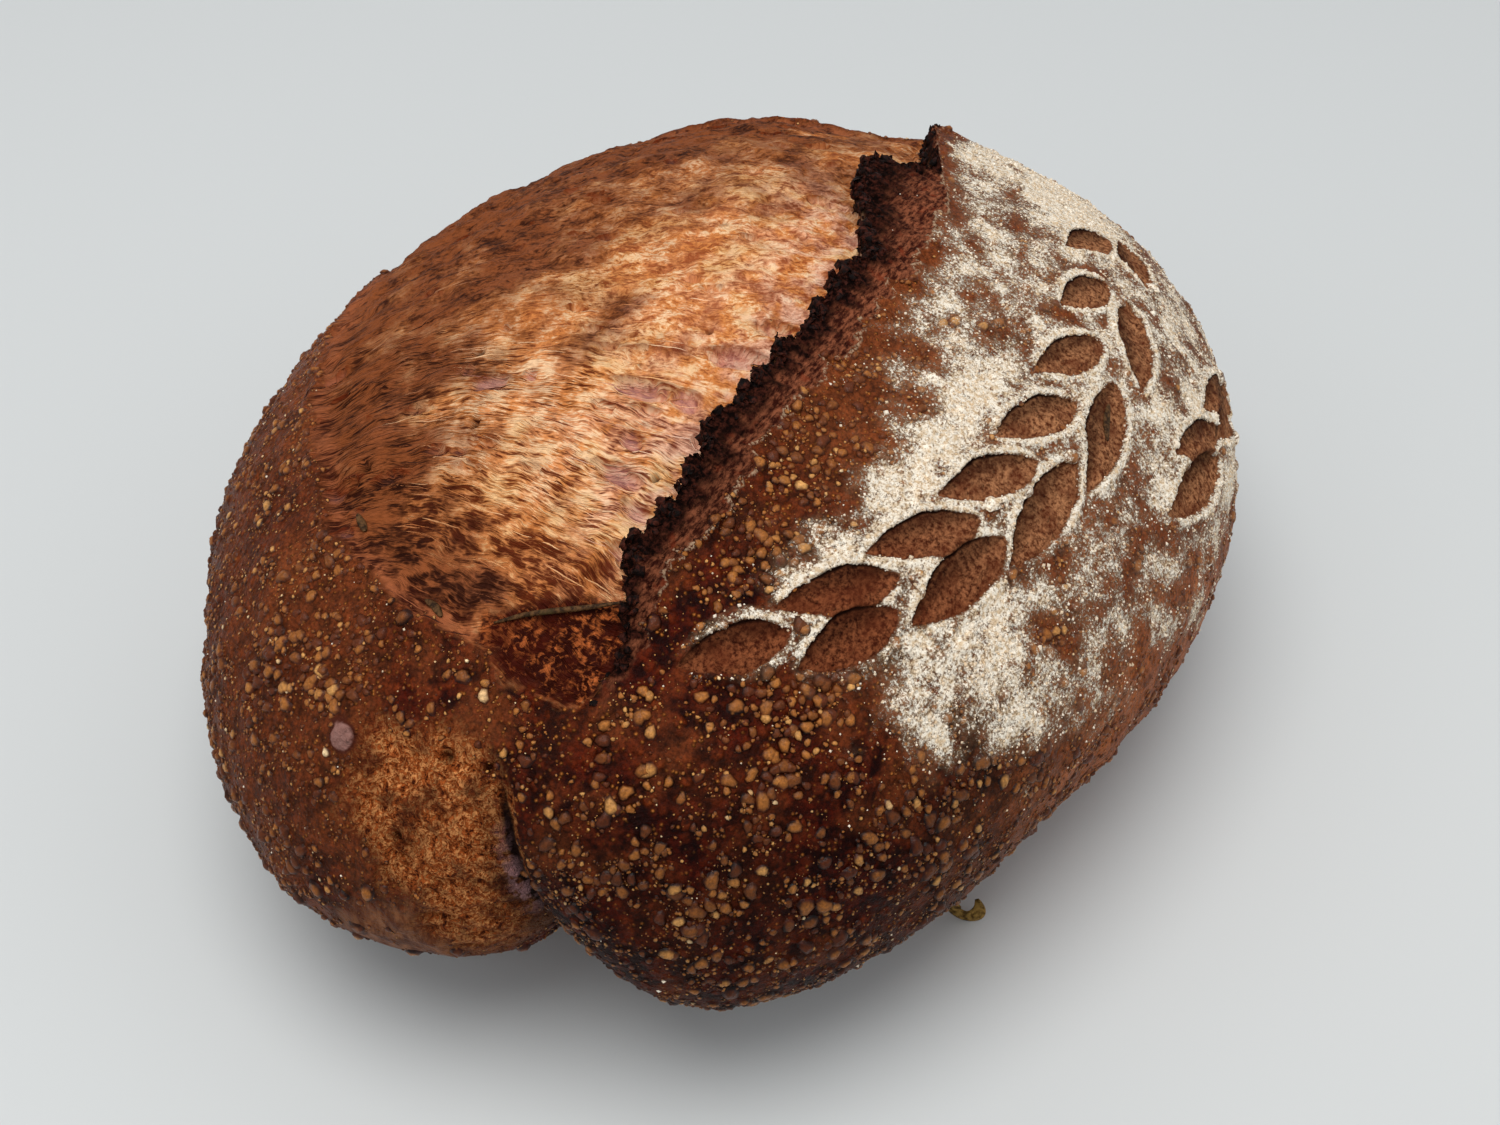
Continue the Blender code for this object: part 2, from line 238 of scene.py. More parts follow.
def ear(p, past):
    """How far the score's flap, wall and valley move points of the plain loaf: up, and over the bloom."""
    x = p[:, 0]
    strength = flap_strength(p)
    width = flap_width(x)
    curl = np.clip(1 + past / width, 0, 1)
    height = FLAP_HEIGHT + PEAK_HEIGHT * ramp(x, 70, CUT_FAR_X)
    height = height - 1.2 * hump(p, (FLAP_FAR_X + 12, 0, 100), (14, 60, 60))
    height = height + 0.9 * noise(on_line(x), 7, 5) + 0.5 * noise(on_line(x), 2.6, 6)
    far = ramp(x, 60, CUT_FAR_X)
    share = 0.35 + 0.6 * far
    skin = share * np.exp(-(np.clip(-past - width, 0, None) / (5 + 7 * far)) ** 1.5)
    flap = height * np.where(past < -width, skin, share + (1 - share) * curl ** 1.6)
    valley = -VALLEY_DEPTH * np.exp(-np.clip(past - WALL, 0, None) / VALLEY_REACH)
    drop = ramp(past, 0, WALL * 0.6)
    lift = flap * (1 - drop) + valley * drop
    lean = (FLAP_LEAN + 0.8) * np.where(past < 0, curl ** 2, 1 - ramp(past, 0, WALL * 0.6))
    return lift * strength, lean * strength * (width > 3)


# The fold between the near lobes

def fold_offset(p):
    return p[:, 1] - FOLD_START_Y - FOLD_RUN_Y * (np.clip(p[:, 2], 0, FOLD_TOP) / FOLD_TOP) ** 3


def fold(p):
    depth = FOLD_DEPTH * ramp(-p[:, 2], -FOLD_TOP, -FOLD_FULL) * ramp(-p[:, 0], 50, 100)
    return depth * np.exp(-(np.abs(fold_offset(p)) / FOLD_WIDTH) ** 1.2)


# The wheat

def leaf_cuts():
    """The leaf cuts, each as (root, tip, normal, width) on the plain loaf."""
    cuts = []
    for stalk, count, first, spacing, reach, swell, start, span, root, tip_girth, change, width in ROWS:
        for i in range(count):
            x = first - spacing * i
            tip = x - reach - swell * math.sin(math.pi * (i + start) / span)
            girths = along(stalk, x) + root, along(stalk, tip) + tip_girth + change * i
            ends, normals = on_skin((x, tip), girths)
            normal = normals.mean(0)
            cuts.append((ends[0], ends[1], normal / np.linalg.norm(normal), width))
    return cuts


LEAVES = leaf_cuts()


def leaf_frame(p, cut):
    """Each point's share of a leaf's length, offset across it, half width there, and whether it is near."""
    base, tip, normal, width = cut
    length = np.linalg.norm(tip - base)
    axis = (tip - base) / length
    side = np.cross(normal, axis)
    share = (p - base) @ axis / length
    inner = np.clip(share, 0, 1)
    half = width / 2 * np.sin(math.pi * inner ** 0.85) ** 0.8
    near = np.abs((p - (base + tip) / 2) @ normal) < 12
    return share, (p - base) @ side, half, near


def wheat(p):
    """The cut pattern: height over the skin, shift of the lips, and masks of its floors, their depth, the
    painted shadow under their upper rims, and dust.
    """
    height, floor_mask, rim_shadow, dusty, sunk = (np.zeros(len(p)) for _ in range(5))
    shift = np.zeros_like(p)
    for number, cut in enumerate(LEAVES):
        share, across, half, near = leaf_frame(p, cut)
        middle = np.sin(math.pi * np.clip(share, 0, 1))
        across = across + middle * (0.45 * noise(p, 5, 20 + number) + 0.2 * noise(p, 1.8, 40 + number))
        half = half * 1.08
        within = (share > 0) & (share < 1) & near & (half > 0.3)
        over = (across + half) / (2 * np.maximum(half, 0.3))  # 0 at the upper rim, 1 at the lower one
        long_fade = middle ** 0.5
        depth = ramp(over, 0, 0.1) * (1 - 0.85 * np.clip(over, 0, 1)) * long_fade
        floor = -(LEAF_DEPTH + 0.6) * depth
        rim = np.exp(-((np.abs(across) - half - 0.6) / RIM_REACH) ** 2)
        rim = rim * ramp(share, -0.12, 0.1) * ramp(-share, -1.12, -0.9) * near
        deep = within & (over > 0) & (over < 1)
        raised = np.maximum(height, RIM_HEIGHT * rim * (height >= 0))
        height = np.where(deep, np.minimum(height, floor), raised)
        edge_gap = np.minimum(across + half, half - across)
        floor_mask = np.maximum(floor_mask, deep * ramp(edge_gap, 0.0, 0.5))
        # How deep each floor lies below its upper rim; the material paints shade from it.
        sunk = np.maximum(sunk, deep * (1 - ramp(over, 0.1, 0.75)))
        # A painted shadow along each cut's upper rim, where the lip overhangs the floor.
        rim_shadow = np.maximum(rim_shadow, within * np.exp(-((across + half - 0.55) / 0.75) ** 2) * long_fade)
        table_side = (across > 0) & (number >= EAR_SIDE_LEAVES)
        dusty = np.maximum(dusty, rim * np.where(table_side, ramp(p[:, 0], -40, -5), 1))
        side = np.cross(cut[2], (cut[1] - cut[0]) / np.linalg.norm(cut[1] - cut[0]))
        lip = within * np.exp(-((across + half + 0.25) / 0.55) ** 2) * long_fade
        shift += 0.8 * lip[:, None] * side
    return height, shift, {"leaf": floor_mask, "rim_shadow": rim_shadow, "dusty": dusty, "sunk": sunk}


# The torn crumb

def strand_place(p):
    """Coordinates across and along the crumb's strands, which slant at its far end, not at its near one."""
    x, y = p[:, 0], p[:, 1]
    near = ramp(-x, 5, 75)
    slant = 0.5 - 0.52 * near
    bow = 0.002 + 0.011 * near
    across = x + slant * y + bow * np.clip(y - 12, 0, None) ** 2
    lengthwise = 0.94 * y - 0.35 * x
    return across, lengthwise


# Open bubbles, as (x, girth, half length, half width, depth, pinkness)
BIG_PITS = (
    (-39, 2, 6.5, 2.2, 1.9, 1), (-38, 10, 3.2, 2.3, 1.5, 1), (-51, 7, 2.4, 2.0, 1.6, 1),
    (-59, 9, 4.6, 1.9, 1.4, 1), (-45, -18, 1.4, 1.3, 1.2, 1), (-72, 19, 3.4, 1.5, 1.4, 0.8),
    (-89, 5, 2.6, 2.0, 1.5, 0.2), (-23, 12, 6.0, 2.4, 1.8, 0.8), (-31, -1, 5.5, 2.4, 0.9, 0.1),
    (-49, -24, 4.5, 2.8, 0.7, 1), (-12, 14, 4.5, 1.8, 1.4, 0.5), (-64, 16, 3.4, 1.3, 1.1, 0.9),
    (-80, 20, 2.8, 1.2, 1.2, 0.7), (-90, 17, 4.6, 1.2, 1.2, 1),
)
SMALL_PITS = 110


def pits():
    """The bloom's open bubbles: the big ones, then many small ones at random."""
    rng = np.random.default_rng(11)
    found = list(BIG_PITS)
    for _ in range(SMALL_PITS):
        x = rng.uniform(-92, 92)
        girth = rng.uniform(-66, 22) * (1 - 0.25 * abs(x) / 92)
        size = rng.gamma(2.6, 0.25)
        found.append((x, girth, 2.0 * size + 0.6, 0.8 * size + 0.35, 0.5 + 0.6 * size, 0.25 * rng.random()))
    return found


PITS = pits()
# Holes in the bloom, as (x, girth, radius, depth), and in the left near lobe, as (centre, radius), painted
# near black as shade in them
HOLES = (
    (-78, 13, 1.1, 2.4), (-56, 15, 0.8, 1.6), (-59, -22, 1.0, 1.8), (-94, -2, 1.6, 2.6), (-73, -38, 0.9, 1.8),
    (-42, -30, 1.0, 1.6), (-20, 5, 0.9, 1.6), (14, -10, 1.0, 1.8), (-85, 16, 0.9, 1.8),
)
LOBE_HOLES = (((-112.5, -7.0, 77.0), 1.3), ((-111.5, -15.0, 77.5), 1.0), ((-123, -2, 63), 0.9))
BUBBLE, BUBBLE_SIZE = (-115.5, 13.0, 74.0), 2.9
BLISTER_CLUSTERS = (
    (-49, -33, 103), (-62, -42, 99), (-78, -57, 85), (-86, -60, 79), (-80, -73, 71), (-71, -83, 63),
    (-108, 22, 76), (-103, 30, 78), (-30, -40, 105),
)


def bloom_inside(p, past):
    """Distance into the bloom from its edge, ragged, above 0 inside."""
    edge = inside(p, BLOOM_EDGE) + 1.6 * rough(p, 9, 30) + 0.7 * noise(p, 2.5, 33)
    near_cut = np.where(p[:, 0] < CUT_FAR_X + 4, past, 9.0)
    return np.minimum(edge, near_cut)


def combed(p, size, seed, stretch):
    """Noise whose lumps are drawn out along the crumb's strands."""
    across, lengthwise = strand_place(p)
    across = across + 2.4 * noise(p, 15, 40) + 0.9 * noise(p, 5, 39)
    return noise(np.stack([across, lengthwise / stretch, p[:, 2] / stretch], 1), size, seed)


def patch_inside(p):
    """The torn patch on the left near lobe, 0 to 1."""
    core = hump(p, (-117, -6, 69), (14, 20, 16)) + 0.8 * hump(p, (-121, -18, 48), (15, 15, 24))
    core = core + 0.16 * rough(p, 8, 35) + 0.07 * noise(p, 2.6, 36)
    return ramp(core, 0.32, 0.84) * (fold_offset(p) > -2) * (p[:, 0] < -96)


def crumb(p, bloom):
    """The bloom's relief: ridges of strands and open bubbles. Also masks of its bubbles, of each deep hole
    and of each bubble's raised upper rim; the material paints shade on the hole and rim masks.
    """
    web = 0.8 * (0.3 - np.abs(noise(p, 5.2, 46))) + 0.45 * (0.3 - np.abs(noise(p, 2.4, 48)))
    lines = 0.9 * (0.3 - np.abs(combed(p, 3.8, 42, 5))) + 0.4 * combed(p, 1.9, 43, 4)
    near = ramp(-p[:, 0] - 8 * noise(p, 20, 49), 5, 55)
    relief = 1.0 * (0.3 - np.abs(combed(p, 9.0, 41, 3))) + near * lines + (1 - 0.75 * near) * web
    relief += 1.0 * noise(p, 18, 44) + 0.6 * noise(p, 8, 47)
    across, lengthwise = strand_place(p)
    pink, sunk, shaded_holes, shaded_brows = (np.zeros(len(p)) for _ in range(4))
    spots, _ = on_skin(np.array([pit[0] for pit in PITS]), np.array([pit[1] for pit in PITS]))
    middles = strand_place(spots)
    for (_, _, half_long, half_wide, depth, pinkness), spot, a, l in zip(PITS, spots, *middles):
        close = np.abs(p - spot).max(1) < half_long * 2 + 2
        here = p[close]
        u = (across[close] - a) / half_wide
        v = (lengthwise[close] - l) / half_long
        from_middle = np.sqrt(np.clip(u * u + v * v + 0.35 * noise(here, 2.4, 45), 0, None))
        steep = 1 - ramp(from_middle + 0.25 * np.clip(u, -1, 1), 0.6, 1.0)
        sunk[close] = np.maximum(sunk[close], depth * steep)
        pink[close] = np.maximum(pink[close], pinkness * (1 - ramp(from_middle, 0.5, 0.95)))
        # Each bubble's upper rim, raised a little, which the material paints with shade.
        brow = np.exp(-((from_middle - 1.0) / 0.22) ** 2) * ramp(u, 0.0, 0.5)
        shaded_brows[close] = np.maximum(shaded_brows[close], brow)
    for x, girth, radius, depth in HOLES:
        spot, _ = on_skin(np.array([x]), np.array([girth]))
        hole = 1 - ramp(np.linalg.norm(p - spot[0], axis=1) / radius, 0.5, 1.2)
        sunk = np.maximum(sunk, depth * hole)
        shaded_holes = np.maximum(shaded_holes, hole)
    return (relief - sunk + 0.4 * shaded_brows) * bloom, pink * bloom, shaded_holes * bloom, shaded_brows * bloom


# Where the crust is toasted, floured, blistered

def toast(p):
    """How brown the bloom is, 0 to 1: browner towards the upper left and its rims."""
    girth = girth_of(p)
    away = ramp(-girth - 0.12 * np.clip(p[:, 0] + 40, 0, None), -8, 56)
    near_tip = ramp(-p[:, 0], 72, 98) * ramp(-girth, -16, 4)
    top = ramp(p[:, 0], -10, 75) * 0.6
    spots = (0.6 * hump(p, (-51, 46, 99), (8, 8, 20)) + 0.7 * hump(p, (-23, 13, 109), (12, 5, 20))
             + 0.55 * hump(p, (-11, 45, 104), (11, 8, 20)) + 0.35 * hump(p, (-78, 38, 95), (15, 15, 20)))
    return np.clip(1.0 * away + 0.85 * near_tip + top + spots + 0.30 * rough(p, 15, 50), 0, 1)


def flour_cover(p, dusty):
    """How thick the flour lies, 0 to 1."""
    girth, x = girth_of(p), p[:, 0]
    edge = inside(p, FLOUR_EDGE) + 3.0 * rough(p, 11, 60) + 1.5 * rough(p, 4, 63)
    cover = ramp(edge, -9, 9) * 0.46
    cover += 0.48 * ramp(x, 48, 86) * ramp(-girth, -58, -40) * ramp(edge, -4, 4)
    cover += 0.22 * hump(p, (-52, -77, 80), (15, 11, 13))
    cover += 0.44 * hump(p, (-28, -54, 97), (32, 5, 12))
    cover += 0.08 * ramp(girth, 58, 66) * ramp(-girth, -90, -74) * ramp(x, -10, 20) * ramp(edge, -4, 5)
    cover -= 0.25 * ramp(x, 30, 70) * ramp(-girth, -40, -26)
    cover -= 0.10 * ramp(girth, 62, 70) * ramp(-x, -45, -10) * ramp(x, -45, -15)
    cover += 0.36 * rough(p, 8.5, 66) * (1 - 0.7 * dusty) * ramp(edge, -14, -1)
    strip = 0.8 * dusty ** 0.8 * ramp(x, -92, -64)
    return np.clip(np.maximum(cover, strip), 0, 1)


def blister_cover(p):
    """How many blisters the crust has, 0 to 1."""
    girth = girth_of(p)
    front = ramp(-p[:, 0], -10, 60) * ramp(p[:, 2], 8, 34)
    by_ear = 1.25 * ramp(girth, 24, 32) * ramp(-girth, -62, -46) * ramp(-p[:, 0], -50, -10)
    side = 0.6 * ramp(p[:, 2], 4, 26)
    return np.clip(np.maximum(front, by_ear) + side, 0, 1.3)


def paleness(p):
    """How far the crust is lighter brown than its darkest mahogany, 0 to 1."""
    girth = girth_of(p)
    left = ramp(-girth, -5, 40) * ramp(p[:, 2], 16, 50) * 0.6
    right = ramp(p[:, 0], -75, -10) * 0.9
    low = ramp(-p[:, 2], -30, -6) * 0.4
    dark_spot = 0.9 * hump(p, (-126, 9, 45), (8, 7, 7))
    return np.clip(left + right + low - dark_spot + 0.25 * rough(p, 20, 55), 0, 1)


def ruddiness(p):
    """How amber the patterned side is over its foot, 0 to 1."""
    side = ramp(p[:, 0], -88, -42) * ramp(-p[:, 1], 68, 88) * ramp(-p[:, 2], -74, -54)
    return side * (0.8 + 0.4 * rough(p, 12, 57))


def painted_front_shade(p):
    """Painted shade on the lower near lobes, the right one above all, 0 to 1: how far their colour is
    darkened to stand for shade.
    """
    low = ramp(-p[:, 2], -88, -60) * ramp(-p[:, 0], 20, 70)
    front = low * (0.45 + 0.55 * ramp(-fold_offset(p), -4, 4)) * (1 - 0.7 * ramp(-p[:, 2], -34, -10))
    return np.clip(front + 0.25 * rough(p, 14, 56) * front, 0, 1)


def heel_inside(p):
    """The smoother, paler underside of the left near lobe, 0 to 1."""
    core = hump(p, (-124, -10, 40), (20, 24, 14)) + 0.12 * rough(p, 9, 37)
    return ramp(core, 0.3, 0.7) * ramp(fold_offset(p), -2, 1) * (p[:, 0] < -90)


# The fine loaf

def shape_loaf(d):
    """The visible loaf's points in the directions d, and the masks that its material reads."""
    plain, normal = body(d)
    past = past_flap(plain)
    into = bloom_inside(plain, past)
    bloom = ramp(into, -0.3, 0.9)
    patch = patch_inside(plain)
    heel = heel_inside(plain)
    lift, lean = ear(plain, past)
    pattern, lips, cuts = wheat(plain)
    leaf = cuts["leaf"]
    crumb_relief, bubbles, shaded_holes, shaded_brows = crumb(plain, bloom)
    strength = flap_strength(plain)
    width = flap_width(plain[:, 0])
    flap = ramp(past, -width - 0.5, -width + 0.3) * (1 - ramp(past, 0.6, 1.8)) * ramp(strength, 0.0, 0.25)
    burnt = ramp(past + 1.8 * noise(plain, 3, 69), -0.72 * width, -0.25 * width)
    char_lumps = (0.3 + 0.7 * burnt) * (0.6 * noise(plain, 2.2, 70) + 0.5 * noise(plain, 1.1, 71)) * flap
    cut_ridge = np.exp(-((past + width + 0.2) / 0.55) ** 2) * strength * ramp(-past, 0.5, 2)
    crust = (1 - bloom) * (1 - flap) * (1 - patch)
    skin = (0.6 * rough(plain, 17, 72) + 0.42 * noise(plain, 5.5, 75) + 0.3 * noise(plain, 2.8, 76)) * crust
    curls = noise(np.stack([plain[:, 0] * 0.6, plain[:, 1] * 0.4, plain[:, 2]], 1), 2.4, 77)
    patch_relief = patch * (-0.9 + 0.6 * (0.6 - 2 * np.abs(curls)) + 0.6 * rough(plain, 6, 78))
    bubble = hump(plain, BUBBLE, (BUBBLE_SIZE, BUBBLE_SIZE, BUBBLE_SIZE))
    lobe_holes = sum(hump(plain, spot, (size, size, size)) for spot, size in LOBE_HOLES)
    push = sum(size * hump(plain, centre, reach) for centre, reach, size in LOBES) - fold(plain)
    push = push + lift + pattern + crumb_relief + char_lumps + skin + 0.4 * cut_ridge
    push = push - 0.9 * bloom * ramp(into, 0, 3) * (past > 3)
    push = push + 0.7 * np.exp(-((into + 0.8) / 1.2) ** 2) * (1 - bloom) * (past > 6)
    offset = fold_offset(plain)
    in_fold = np.exp(-(offset / CREASE_WIDTH) ** 2)
    push = push - CREASE_DEPTH * in_fold * ramp(-plain[:, 0], 94, 102) * ramp(-plain[:, 2], -86, -66)
    push = push + patch_relief + 1.3 * bubble - 2.4 * lobe_holes
    push = push + leaf * (0.22 * noise(plain, 1.5, 80) + 0.25 * noise(plain, 3.0, 81))
    p = plain + normal * push[:, None] + lips
    p[:, 1] += lean
    lifted = hump(plain, (-116, -8, 0), (34, 36, 26)) * ramp(offset, -8, 6)
    p[:, 2] += LIFT_HEIGHT * lifted
    z = p[:, 2]
    p[:, 0] += MIDDLE_X
    p[:, 2] = np.where(z < SOLE_BLEND, np.clip(z + SOLE_BLEND, 0, None) ** 2 / (4 * SOLE_BLEND), z)
    flour = flour_cover(plain, cuts["dusty"]) * (1 - leaf) * (1 - bloom) * (1 - flap)
    at_lobes = ramp(-plain[:, 0], 94, 102) * ramp(-plain[:, 2], -86, -68)
    # Painted shade in the fold between the near lobes, drawn as a dark line.
    crease = np.maximum(0.4 * fold(plain) / FOLD_DEPTH, at_lobes * in_fold) * ramp(plain[:, 2], 4, 30)
    blistered = blister_cover(plain) * (1 - bloom) * (1 - ramp(patch, 0.3, 0.95)) * (1 - 0.8 * heel)
    blistered = blistered * (1 - leaf) * (1 - ramp(bubble, 0.05, 0.3))
    beside = bloom * np.exp(-np.clip(past - 1, 0, None) / 15) * ramp(-plain[:, 0], -60, -20)
    across, lengthwise = strand_place(plain)
    masks = {
        "bloom": bloom, "patch": patch, "flap": flap, "burnt": burnt, "leaf": leaf,
        "sunk": cuts["sunk"], "rim_shadow": cuts["rim_shadow"], "flour": flour, "bubbles": bubbles, "shaded_brows": shaded_brows,
        "shaded_holes": np.clip(shaded_holes + lobe_holes, 0, 1), "crease": crease,
        "toast": toast(plain), "ridge": cut_ridge * (1 - leaf), "bubble": ramp(bubble, 0.25, 0.6),
        "beside": beside * (1 - 0.85 * ramp(-plain[:, 0], 62, 78)), "blisters": blistered,
        "across": across, "lengthwise": lengthwise, "edge": bloom * (1 - ramp(into, 0.5, 6)) * (past > 6),
        "tongue": bloom * ramp(inside(plain, TONGUE_EDGE) + 0.8 * rough(plain, 5, 82), -0.6, 1.6),
        "pale": paleness(plain), "painted_front_shade": painted_front_shade(plain), "near": ramp(-plain[:, 0], 10, 60),
        "kneaded": ramp(-plain[:, 0], 64, 84), "heel": heel * (1 - patch), "ruddy": ruddiness(plain),
        # painted shadow on the left lobe beside the fold, under the overhanging right lobe
        "overhang_shadow": at_lobes * np.exp(-((offset - 2.5) / 3.8) ** 2),
        "lilac": at_lobes * np.exp(-((offset - 1.6) / 1.4) ** 2) * hump(plain, (-120, -24, 58), (20, 20, 9)),
    }
    return p, masks


# The fine mesh's longest edges
COARSE_EDGE, SOLE_EDGE, LEAF_EDGE, BLOOM_MESH_EDGE, FINEST_EDGE = 3.3, 9.0, 1.6, 1.25, 0.8


def longest_edge(d):
    """The fine mesh's longest edge allowed in the directions d."""
    plain, _ = body(d)
    past = past_flap(plain)
    into = bloom_inside(plain, past)
    at_ear = (past > -flap_width(plain[:, 0]) - 2) & (past < 3.5) & (flap_strength(plain) > 0)
    at_leaf, at_rim = np.zeros(len(d), bool), np.zeros(len(d), bool)
    for cut in LEAVES:
        share, across, half, near = leaf_frame(plain, cut)
        on_cut = near & (share > -0.08) & (share < 1.08)
        at_leaf |= on_cut & (abs(across) < half + 2.5)
        at_rim |= on_cut & (abs(abs(across) - half) < 0.9)
    patch = patch_inside(plain) > 0.05
    edge = np.full(len(d), COARSE_EDGE)
    edge[plain[:, 2] < 3] = SOLE_EDGE
    edge[at_leaf] = LEAF_EDGE
    edge[(into > -1) | patch] = BLOOM_MESH_EDGE
    edge[at_rim | at_ear] = FINEST_EDGE
    return edge


def fine_sphere():
    """A sphere's directions and triangles, finer where the loaf has finer shapes."""
    bm = bmesh.new()
    bmesh.ops.create_icosphere(bm, subdivisions=6, radius=1.0)
    for _ in range(3):
        d = np.array([v.co for v in bm.verts])
        d /= np.linalg.norm(d, axis=1, keepdims=True)
        plain, _ = body(d)
        allowed = longest_edge(d)
        bm.verts.index_update()
        ends = np.array([(e.verts[0].index, e.verts[1].index) for e in bm.edges])
        length = np.linalg.norm(plain[ends[:, 0]] - plain[ends[:, 1]], axis=1)
        too_long = length > allowed[ends].min(1)
        long_edges = [e for e, long in zip(bm.edges, too_long) if long]
        bmesh.ops.subdivide_edges(bm, edges=long_edges, cuts=1, use_grid_fill=True)
        bmesh.ops.triangulate(bm, faces=[f for f in bm.faces if len(f.verts) > 3])
    d = np.array([v.co for v in bm.verts])
    bm.verts.index_update()
    triangles = np.array([[v.index for v in f.verts] for f in bm.faces])
    bm.free()
    return d / np.linalg.norm(d, axis=1, keepdims=True), triangles


def make_piece(name, points, faces, material, masks=None):
    """A mesh piece from points in millimetres, which rides on the loaf."""
    mesh = bpy.data.meshes.new(name)
    mesh.vertices.add(len(points))
    points = np.array(points)
    points[:, 2] = np.maximum(points[:, 2], 0)  # nothing reaches under the floor
    mesh.vertices.foreach_set("co", (points * MM).astype(np.float32).ravel())
    faces = np.asarray(faces)
    mesh.loops.add(faces.size)
    mesh.loops.foreach_set("vertex_index", faces.ravel().astype(np.int32))
    mesh.polygons.add(len(faces))
    mesh.polygons.foreach_set("loop_start", np.arange(0, faces.size, faces.shape[1], dtype=np.int32))
    mesh.update(calc_edges=True)
    mesh.validate()
    mesh.shade_smooth()
    for label, values in (masks or {}).items():
        layer = mesh.attributes.new(label, "FLOAT", "POINT")
        layer.data.foreach_set("value", np.asarray(values, np.float32))
    mesh.materials.append(material)
    piece = bpy.data.objects.new(name, mesh)
    bpy.context.scene.collection.objects.link(piece)
    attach(piece, "root")
    return piece


def vertex_normals(points, triangles):
    a, b, c = (points[triangles[:, i]] for i in range(3))
    face = np.cross(b - a, c - a)
    total = np.zeros_like(points)
    for i in range(3):
        np.add.at(total, triangles[:, i], face)
    return total / np.maximum(np.linalg.norm(total, axis=1, keepdims=True), 1e-9)


def face_areas(points, triangles):
    a, b, c = (points[triangles[:, i]] for i in range(3))
    return np.linalg.norm(np.cross(b - a, c - a), axis=1) / 2


def scatter(loaf, count, chance, seed):
    """Random places on the loaf, likelier where chance is high: points, normals and masks there."""
    points, triangles, normals, masks = loaf
    rng = np.random.default_rng(seed)
    odds = face_areas(points, triangles) * chance[triangles].mean(1)
    face = rng.choice(len(odds), count, p=odds / odds.sum())
    u, v = rng.random((2, count))
    flip = u + v > 1
    u, v = np.where(flip, 1 - u, u), np.where(flip, 1 - v, v)
    weights = np.stack([1 - u - v, u, v], 1)
    corners = triangles[face]
    spot = (points[corners] * weights[:, :, None]).sum(1)
    normal = (normals[corners] * weights[:, :, None]).sum(1)
    normal /= np.linalg.norm(normal, axis=1, keepdims=True)
    return spot, normal, {name: (values[corners] * weights).sum(1) for name, values in masks.items()}


def side_axes(normal):
    """Two unit vectors at right angles to each normal."""
    first = np.cross(normal, np.where(np.abs(normal[:, 2:]) < 0.9, (0, 0, 1.0), (1.0, 0, 0)))
    first /= np.linalg.norm(first, axis=1, keepdims=True)
    return first, np.cross(normal, first)


def without_overlap(spot, radius, room):
    """Which places to keep so that none sits on a bigger one."""
    kept = []
    places = np.zeros((0, 3))
    sizes = np.zeros(0)
    for i in np.argsort(-radius):
        gap = np.linalg.norm(places - spot[i], axis=1) - room * (sizes + radius[i])
        if not len(gap) or gap.min() > 0:
            kept.append(i)
            places = np.vstack([places, spot[i]])
            sizes = np.append(sizes, radius[i])
    return np.array(kept)


def repeated(faces, count, size):
    """The triangles of many alike things, which have size points each."""
    return (np.array(faces)[None] + (np.arange(count) * size)[:, None, None]).reshape(-1, 3)


def domes(spot, normal, radius, height, rings, sides, seed):
    """Low irregular domes: points, triangles, each point's height share, and the points in one dome."""
    rng = np.random.default_rng(seed)
    count = len(spot)
    first, second = side_axes(normal)
    turn = np.arange(sides) * 2 * math.pi / sides + rng.uniform(0, 6.3, (count, 1))
    phases = rng.uniform(0, 6.3, (count, 2, 1))
    outline = 1 + 0.16 * np.cos(2 * turn + phases[:, 0]) + 0.11 * np.cos(3 * turn + phases[:, 1])
    outline = outline + rng.normal(0, 0.05, (count, sides))
    points, shares = [spot + normal * height[:, None]], [np.ones(count)]
    for share, level in rings:
        reach = (radius[:, None] * outline * share)[:, :, None]
        outward = np.cos(turn)[:, :, None] * first[:, None] + np.sin(turn)[:, :, None] * second[:, None]
        ring = spot[:, None] + reach * outward
        uneven = 0.12 * rng.normal(size=(count, sides)) if level > 0 else np.zeros((count, sides))
        bumpy = level * (1 + uneven)
        ring = ring + normal[:, None] * (height[:, None] * bumpy)[:, :, None]
        points.extend(ring.transpose(1, 0, 2))
        shares.extend([np.full(count, max(level, 0.0))] * sides)
    points = np.stack(points, 1)
    shares = np.stack(shares, 1)
    faces = [(0, 1 + i, 1 + (i + 1) % sides) for i in range(sides)]
    for ring in range(len(rings) - 1):
        a, b = 1 + ring * sides, 1 + (ring + 1) * sides
        for i in range(sides):
            j = (i + 1) % sides
            faces += [(a + i, b + i, b + j), (a + i, b + j, a + j)]
    size = points.shape[1]
    return points.reshape(-1, 3), repeated(faces, count, size), shares.reshape(-1), size


# Materials

def colour(red, green, blue):
    """An sRGB colour of 0 to 255, as the linear colour that a socket takes."""
    channels = [c / 255 for c in (red, green, blue)]
    return tuple(c / 12.92 if c <= 0.04045 else ((c + 0.055) / 1.055) ** 2.4 for c in channels) + (1.0,)


def grey(level):
    return (level, level, level, 1)


